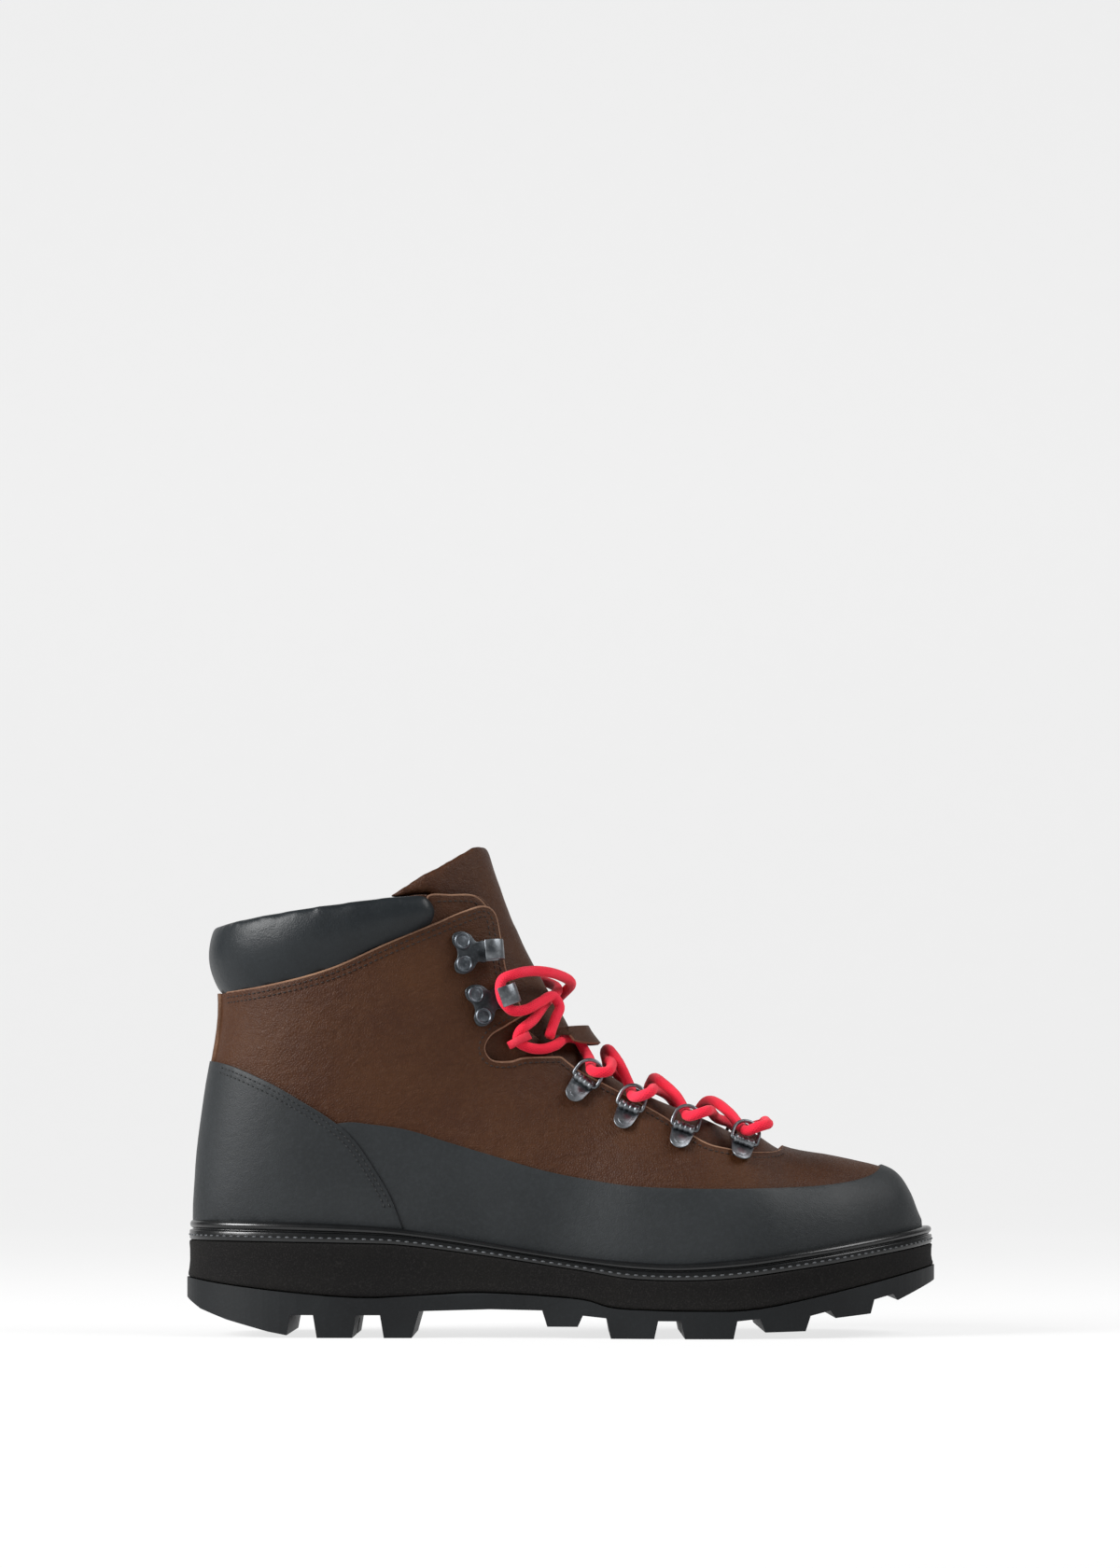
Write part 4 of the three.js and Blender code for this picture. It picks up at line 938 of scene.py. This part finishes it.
def clipBm():
    half = hardware["clipWidth"] / 2
    foot = [(0.86 * half * math.cos(a), -hardware["clipLength"] + half + half * math.sin(a))
            for a in (math.pi + i * math.pi / 14 for i in range(15))]
    outline = [(half, 0.0), (-half, 0.0)] + foot
    plate = plateBm(outline, hardware["plateLift"], hardware["sheet"], 0.22)
    pressed = [(x * 0.6, -hardware["clipLength"] * 0.5 + (y + hardware["clipLength"] * 0.5) * 0.62)
               for x, y in outline]
    panel = plateBm(pressed, hardware["plateLift"] + hardware["sheet"] - 0.1, 0.28, 0.14)
    reach = half - 0.5
    ribs = [(-reach, 1.1), (-reach, 1.6), (-reach + 0.35, 1.9)]
    for x in (-2.1, 0.0, 2.1):
        ribs += [(x - 0.55, 1.9), (x - 0.3, 1.66), (x + 0.3, 1.66), (x + 0.55, 1.9)]
    ribs += [(reach - 0.35, 1.9), (reach, 1.6), (reach, 1.1)]
    barrel = spunBm(ribs, 24)
    return joined([(plate, Matrix()), (panel, Matrix()),
                   (barrel, Matrix.Translation((0, 0, hardware["barrelHeight"])))])


def ringPoints():
    half = (hardware["ringInner"] + hardware["wire"]) / 2
    lean = math.radians(hardware["ringLean"])
    flat = [(-half + 1, 0), (0, 0), (half - 1, 0), (half, 0.9)]
    flat += [(half * math.cos(a), hardware["ringHeight"] - half + half * math.sin(a))
             for a in (i * math.pi / 8 for i in range(9))]
    flat.append((-half, 0.9))
    points = [(x, y * math.cos(lean), hardware["barrelHeight"] + y * math.sin(lean)) for x, y in flat]
    return roundedCurve(points, 6, closed=True)


def buildRings():
    for joint in frame["joints"]:
        if not joint["child"].startswith("ring_"):
            continue
        label = joint["child"][len("ring_"):]
        holder = jointFrame(joint)
        clip = clipBm()
        clip.transform(holder)
        finishMesh(f"clip_plate_{label}", clip, ["gunmetal"], "boot", [f"ring_clip_{label}"])
        ring = tubeBm(ringPoints(), hardware["wire"] / 2, 12, closed=True)
        ring.transform(holder)
        finishMesh(f"wire_ring_{label}", ring, ["gunmetal"], joint["child"], [f"lace_ring_{label}"])


hooks = {"upper": (-36.8, 152.6, 94), "lower": (-30.5, 133.2, 111)}


def hookPlate():
    back = hardware["rivetBack"]
    ear = hardware["rivetSpread"] + 3.9
    half = hardware["hookWidth"] / 2
    outline = [(-ear, back), (-ear + 1, back - 3.4), (-4.2, back - 3.9), (-1.6, back - 2.4), (1.6, back - 2.4),
               (4.2, back - 3.9), (ear - 1, back - 3.4), (ear, back), (ear - 1.5, back + 3.6), (half, 1), (half, 4.5),
               (-half, 4.5), (-half, 1), (-ear + 1.5, back + 3.6)]
    return plateBm(roundedCurve(outline, 3, closed=True), hardware["plateLift"], hardware["hookSheet"], 0.3)


def hookLip():
    curl = roundedCurve([(2.5, 0.6), (6, 0.6), (8.6, 2), (9.3, 4.6), (8, 7), (5, 7.8), (2, 7)], 4)
    back = roundedCurve([(2.5, -0.6), (6.3, -0.6), (9.5, 1.1), (10.6, 4.7), (8.8, 8), (5, 9.1), (1.6, 8)], 4)
    lift = hardware["plateLift"] + hardware["hookSheet"] / 2
    outline = [(y, z + lift) for y, z in curl + back[::-1]]
    lip = plateBm(outline, -hardware["hookWidth"] / 2, hardware["hookWidth"], 0.28)
    lip.transform(Matrix(((0, 0, 1, 0), (1, 0, 0, 0), (0, 1, 0, 0), (0, 0, 0, 1))))
    return lip


def buildHooks():
    rivetProfile = [(0.75, 0.0), (0.72, 1.2), (0.6, 1.9), (0.5, 2.25), (0.62, 2.45), (1.0, 2.6), (1.15, 2.85),
                    (1.05, 3.15), (0.6, 3.42), (0.1, 3.5), (0, 3.2), (0, 0)]
    for label, side in (("outer", -1), ("inner", 1)):
        for level, (x, z, slope) in hooks.items():
            holder = skinFrame(x, z, side, slope)
            plate = hookPlate()
            plate.transform(holder)
            finishMesh(f"hook_plate_{level}_{label}", plate, ["blackMetal"], "boot",
                       [f"hook_{level}_{label}"])
            lip = hookLip()
            lip.transform(holder)
            finishMesh(f"hook_lip_{level}_{label}", lip, ["gunmetal"], "boot", [f"hook_{level}_{label}"])
            for number, end in ((1, -1), (2, 1)):
                rivet = spunBm(rivetProfile, 28, axis=(0, 0, 1), across=(1, 0, 0))
                rivet.transform(holder @ Matrix.Translation((end * hardware["rivetSpread"], hardware["rivetBack"],
                                                             hardware["plateLift"] + hardware["hookSheet"])))
                finishMesh(f"rivet_{level}_{label}_{number}", rivet, ["rivet"], "boot",
                           [f"hook_rivet_{level}_{label}_{number}"])


buildRings()
buildHooks()
print("hardware riveted")


laceRoute = [
    (-0.0085, 0.0215, 0.136), (-0.0125, 0.0275, 0.1325), (-0.0173, 0.0316, 0.1306),
    (-0.0216, 0.0338, 0.1296), (-0.0256, 0.0349, 0.1347), (-0.0256, 0.0346, 0.1413),
    (-0.0205, 0.0322, 0.1442), (-0.013, 0.025, 0.144), (-0.006, 0.012, 0.1418), (-0.0035, -0.002, 0.1386),
    (-0.0082, -0.0158, 0.1332), (-0.0132, -0.0246, 0.126), (-0.0186, -0.031, 0.121),
    (-0.0192, -0.0312, 0.1176), (-0.015, -0.0296, 0.115), (-0.0095, -0.0274, 0.1144),
    (-0.0045, -0.0245, 0.1159), (0.0002, -0.0154, 0.1192), (0.0044, -0.0124, 0.1186),
    (0.0076, -0.0136, 0.1138), (0.0096, -0.0215, 0.1096), (0.01, -0.0298, 0.106), (0.012, -0.0342, 0.105),
    (0.016, -0.034, 0.1052), (0.0182, -0.021, 0.1086), (0.017, -0.009, 0.11), (0.0178, 0.006, 0.1086),
    (0.0244, 0.0189, 0.1006), (0.0263, 0.0267, 0.0955), (0.0282, 0.0318, 0.0956), (0.0322, 0.033, 0.0974),
    (0.0344, 0.019, 0.1016), (0.0356, 0.004, 0.1034), (0.038, -0.009, 0.1018), (0.0438, -0.021, 0.096),
    (0.0471, -0.0296, 0.0899), (0.048, -0.0348, 0.0877), (0.0506, -0.0386, 0.088),
    (0.0548, -0.0386, 0.0894), (0.0574, -0.024, 0.09), (0.0586, -0.01, 0.0892), (0.0616, 0.006, 0.087),
    (0.0668, 0.018, 0.0854), (0.0698, 0.0258, 0.0831), (0.0717, 0.0308, 0.082), (0.075, 0.0344, 0.0834),
    (0.0794, 0.0322, 0.0848), (0.08, 0.019, 0.085), (0.0804, 0, 0.086), (0.0802, -0.019, 0.0848),
    (0.0794, -0.0326, 0.0844), (0.0754, -0.035, 0.0832), (0.0718, -0.0316, 0.0818),
    (0.0699, -0.0266, 0.083), (0.0658, -0.017, 0.0886), (0.0606, -0.003, 0.0934), (0.0574, 0.011, 0.0942),
    (0.055, 0.026, 0.0916), (0.0546, 0.0364, 0.0898), (0.0504, 0.036, 0.0882), (0.0478, 0.0319, 0.0875),
    (0.0466, 0.0257, 0.0898), (0.042, 0.014, 0.096), (0.0364, 0, 0.0988), (0.0342, -0.014, 0.0984),
    (0.0346, -0.028, 0.0986), (0.0326, -0.0374, 0.0968), (0.029, -0.037, 0.0954), (0.0264, -0.0323, 0.0955),
    (0.0255, -0.0252, 0.099), (0.0214, -0.015, 0.1086), (0.0174, -0.003, 0.1146), (0.0158, 0.01, 0.114),
    (0.0168, 0.0205, 0.1096), (0.017, 0.0286, 0.1052), (0.0126, 0.0286, 0.1046), (0.0101, 0.0243, 0.1053),
    (0.0086, 0.018, 0.1098), (0.0074, 0.013, 0.1138), (0.003, 0.0114, 0.1178), (-0.0008, 0.0142, 0.1184),
    (-0.0045, 0.022, 0.1164), (-0.0095, 0.0269, 0.1148), (-0.015, 0.0288, 0.1152), (-0.019, 0.031, 0.1178),
    (-0.0187, 0.0308, 0.121), (-0.0132, 0.0243, 0.1264), (-0.008, 0.015, 0.132), (-0.001, 0.006, 0.138),
    (0.002, -0.003, 0.1416), (-0.0045, -0.0165, 0.1448), (-0.014, -0.0275, 0.1454),
    (-0.0205, -0.032, 0.144), (-0.0256, -0.0344, 0.1413), (-0.0256, -0.0348, 0.1346),
    (-0.0216, -0.0336, 0.1296), (-0.0165, -0.0316, 0.1298), (-0.0105, -0.026, 0.133),
    (-0.0052, -0.019, 0.1356), (-0.0026, -0.0186, 0.1316), (-0.0042, -0.0214, 0.127),
    (-0.006, -0.0248, 0.1218), (-0.0066, -0.0266, 0.1194),
]
laceLook = {"radius": 2.1, "wobble": 0.03, "sections": 14, "step": 1.0}


def centripetal(points, perSpan):
    path = [Vector(p) for p in points]
    path = [path[0] * 2 - path[1]] + path + [path[-1] * 2 - path[-2]]
    line = []
    for i in range(1, len(path) - 2):
        p0, p1, p2, p3 = path[i - 1:i + 3]
        t1 = (p1 - p0).length ** 0.5
        t2 = t1 + (p2 - p1).length ** 0.5
        t3 = t2 + (p3 - p2).length ** 0.5
        for k in range(perSpan):
            t = t1 + (t2 - t1) * k / perSpan
            a1 = p0 * ((t1 - t) / t1) + p1 * (t / t1)
            a2 = p1 * ((t2 - t) / (t2 - t1)) + p2 * ((t - t1) / (t2 - t1))
            a3 = p2 * ((t3 - t) / (t3 - t2)) + p3 * ((t - t2) / (t3 - t2))
            b1 = a1 * ((t2 - t) / t2) + a2 * (t / t2)
            b2 = a2 * ((t3 - t) / (t3 - t1)) + a3 * ((t - t1) / (t3 - t1))
            line.append(b1 * ((t2 - t) / (t2 - t1)) + b2 * ((t - t1) / (t2 - t1)))
    return line + [path[-2]]


def addAlongMap(mesh, sections, step, radius):
    layer = mesh.uv_layers.new(name="along")
    aroundStep = 2 * math.pi * radius / sections
    for face in mesh.polygons:
        spots = [mesh.loops[i].vertex_index for i in face.loop_indices]
        turns = [s % sections for s in spots]
        wraps = max(turns) - min(turns) > sections / 2
        for loop, spot, turn in zip(face.loop_indices, spots, turns):
            turn = turn + sections if wraps and turn < sections / 2 else turn
            layer.data[loop].uv = (spot // sections * step, turn * aroundStep)


def buildLace():
    route = [Vector(point) / mm for point in laceRoute]
    path = spaced(centripetal(route, 12), laceLook["step"])
    bm = tubeBm(path, laceLook["radius"], laceLook["sections"], wobble=laceLook["wobble"])
    obj = finishMesh("lace_braided", bm, ["lace"], "boot", ["lace"])
    addAlongMap(obj.data, laceLook["sections"], laceLook["step"], laceLook["radius"])


trim = {"strapHalfWidth": 21.5, "strapWall": 1.2, "keeperX": -18.6, "keeperZ": 117.7, "keeperAside": 31.3,
        "keeperTurn": -117}


def buildTrim():
    half, wall = trim["strapHalfWidth"], trim["strapWall"]
    strap = roundedCurve([(-9, 120), (-9, 122.6), (-6, 123), (6, 124.2), (13, 124.4), (16.4, 121.8), (15.6, 118),
                          (8, 117.4), (0, 119)], 3, closed=True)
    leatherPanel("tongue_strap", -1.6, strap, wall, ["brown", "rawEdge"], ["tongue_loop"],
                 edge=0.3, yFrom=-half, yTo=half)
    leg = [(-9, 120.2), (8, 120.2), (8, 124), (6, 124), (-6, 122.8), (-9, 122.4)]
    for label, low, high in (("outer", -half, wall - half), ("inner", half - wall, half)):
        side = closedWall(-1.6, 6.4, leg, low, high)
        obj = finishMesh(f"strap_leg_{label}", side, ["brown"], "boot", ["tongue_loop"])
        roundEdges(obj, 0.2)
    tapeProfile = [(-1.6, 4.3), (-1.45, 4.1), (1.45, 4.1), (1.6, 4.3), (1.6, 4.7), (1.45, 4.9), (-1.45, 4.9),
                   (-1.6, 4.7), (-1.6, 4.3)]
    for label, side in (("outer", -1), ("inner", 1)):
        band = spunBm(tapeProfile, 40)
        band.transform(Matrix.Translation((trim["keeperX"], side * trim["keeperAside"], trim["keeperZ"]))
                       @ Matrix.Rotation(math.radians(trim["keeperTurn"]), 4, "Y"))
        finishMesh(f"keeper_tape_{label}", band, ["tape"], "boot", [f"lace_keeper_{label}"])


def edgeBead(name, lines, radius, inset, material):
    # Thin rolled border along a cut edge.
    paths = [spaced([onSkin(x, z, side, -inset)[0] for x, z in line], 1.2) for line in lines for side in (-1, 1)]
    finishMesh(name, joined([(tubeBm(path, radius, 8), Matrix()) for path in paths]), [material])


def buildEdges():
    seam = [p for p in roundedCurve(collarUnder, 8) if p[0] > -138.5]
    opening = [p for p in notchEdge[:-1] + throatEdge if p[0] < 86.5]
    edgeBead("quarter_edge_bead", [seam + quarterEdge[1:], opening], 0.5, 0.35, "rawEdge")
    tab = roundedCurve([(-52.4, 165.5), (-54.2, 171), (-53.6, 175), (-45, 175.3), (-36, 175.5), (-30.9, 171.6),
                        (-28, 165.5)], 5)
    edgeBead("tab_edge_bead", [tab], 0.45, 2.2, "rawEdge")
    root = [(68, 66), (69, 92), (97, 92), (97, 64)]
    leatherPanel("tongue_root", 2.2, root, 1.2, ["brown", "rawEdge"], ["tongue_lower"])


buildTrim()
buildEdges()
buildLace()
print("lace threaded")


studio = {"floor": 3.0, "wall": 2.2, "bend": 0.8, "key": 56, "fill": 20, "world": 0.15}


def addStudio():
    bm = bmesh.new()
    half = studio["floor"]
    verts = [bm.verts.new(p) for p in ((-half, -half, 0), (half, -half, 0))]
    edge = bm.edges.new(verts)
    bend = studio["bend"]
    profile = [(half - bend, 0)]
    for i in range(1, 13):
        angle = i / 12 * math.pi / 2
        profile.append((half - bend + bend * math.sin(angle), bend - bend * math.cos(angle)))
    profile.append((half, studio["wall"]))
    for y, z in profile:
        made = bmesh.ops.extrude_edge_only(bm, edges=[edge])["geom"]
        edge = next(e for e in made if isinstance(e, bmesh.types.BMEdge))
        for vert in edge.verts:
            vert.co.y, vert.co.z = y, z
    bmesh.ops.recalc_face_normals(bm, faces=bm.faces)
    mesh = bpy.data.meshes.new("studioPaper")
    bm.to_mesh(mesh)
    bm.free()
    mesh.shade_smooth()
    mesh.materials.append(finishes["floor"])
    paper = bpy.data.objects.new("studioPaper", mesh)
    scene.collection.objects.link(paper)
    world = bpy.data.worlds.new("softRoom")
    world.use_nodes = True
    world.node_tree.nodes["Background"].inputs[0].default_value = (1, 1, 1, 1)
    world.node_tree.nodes["Background"].inputs[1].default_value = studio["world"]
    scene.world = world
    for name, place, size, power in (("keyLight", (-1.5, -0.75, 1.0), 0.9, studio["key"]),
                                     ("fillLight", (1.1, -0.35, 1.2), 1.0, studio["fill"])):
        data = bpy.data.lights.new(name, "AREA")
        data.size = size
        data.energy = power
        light = bpy.data.objects.new(name, data)
        scene.collection.objects.link(light)
        light.location = place
        light.rotation_euler = (Vector((0, 0, 0.08)) - Vector(place)).to_track_quat("-Z", "Y").to_euler()


addStudio()
print("studio ready")
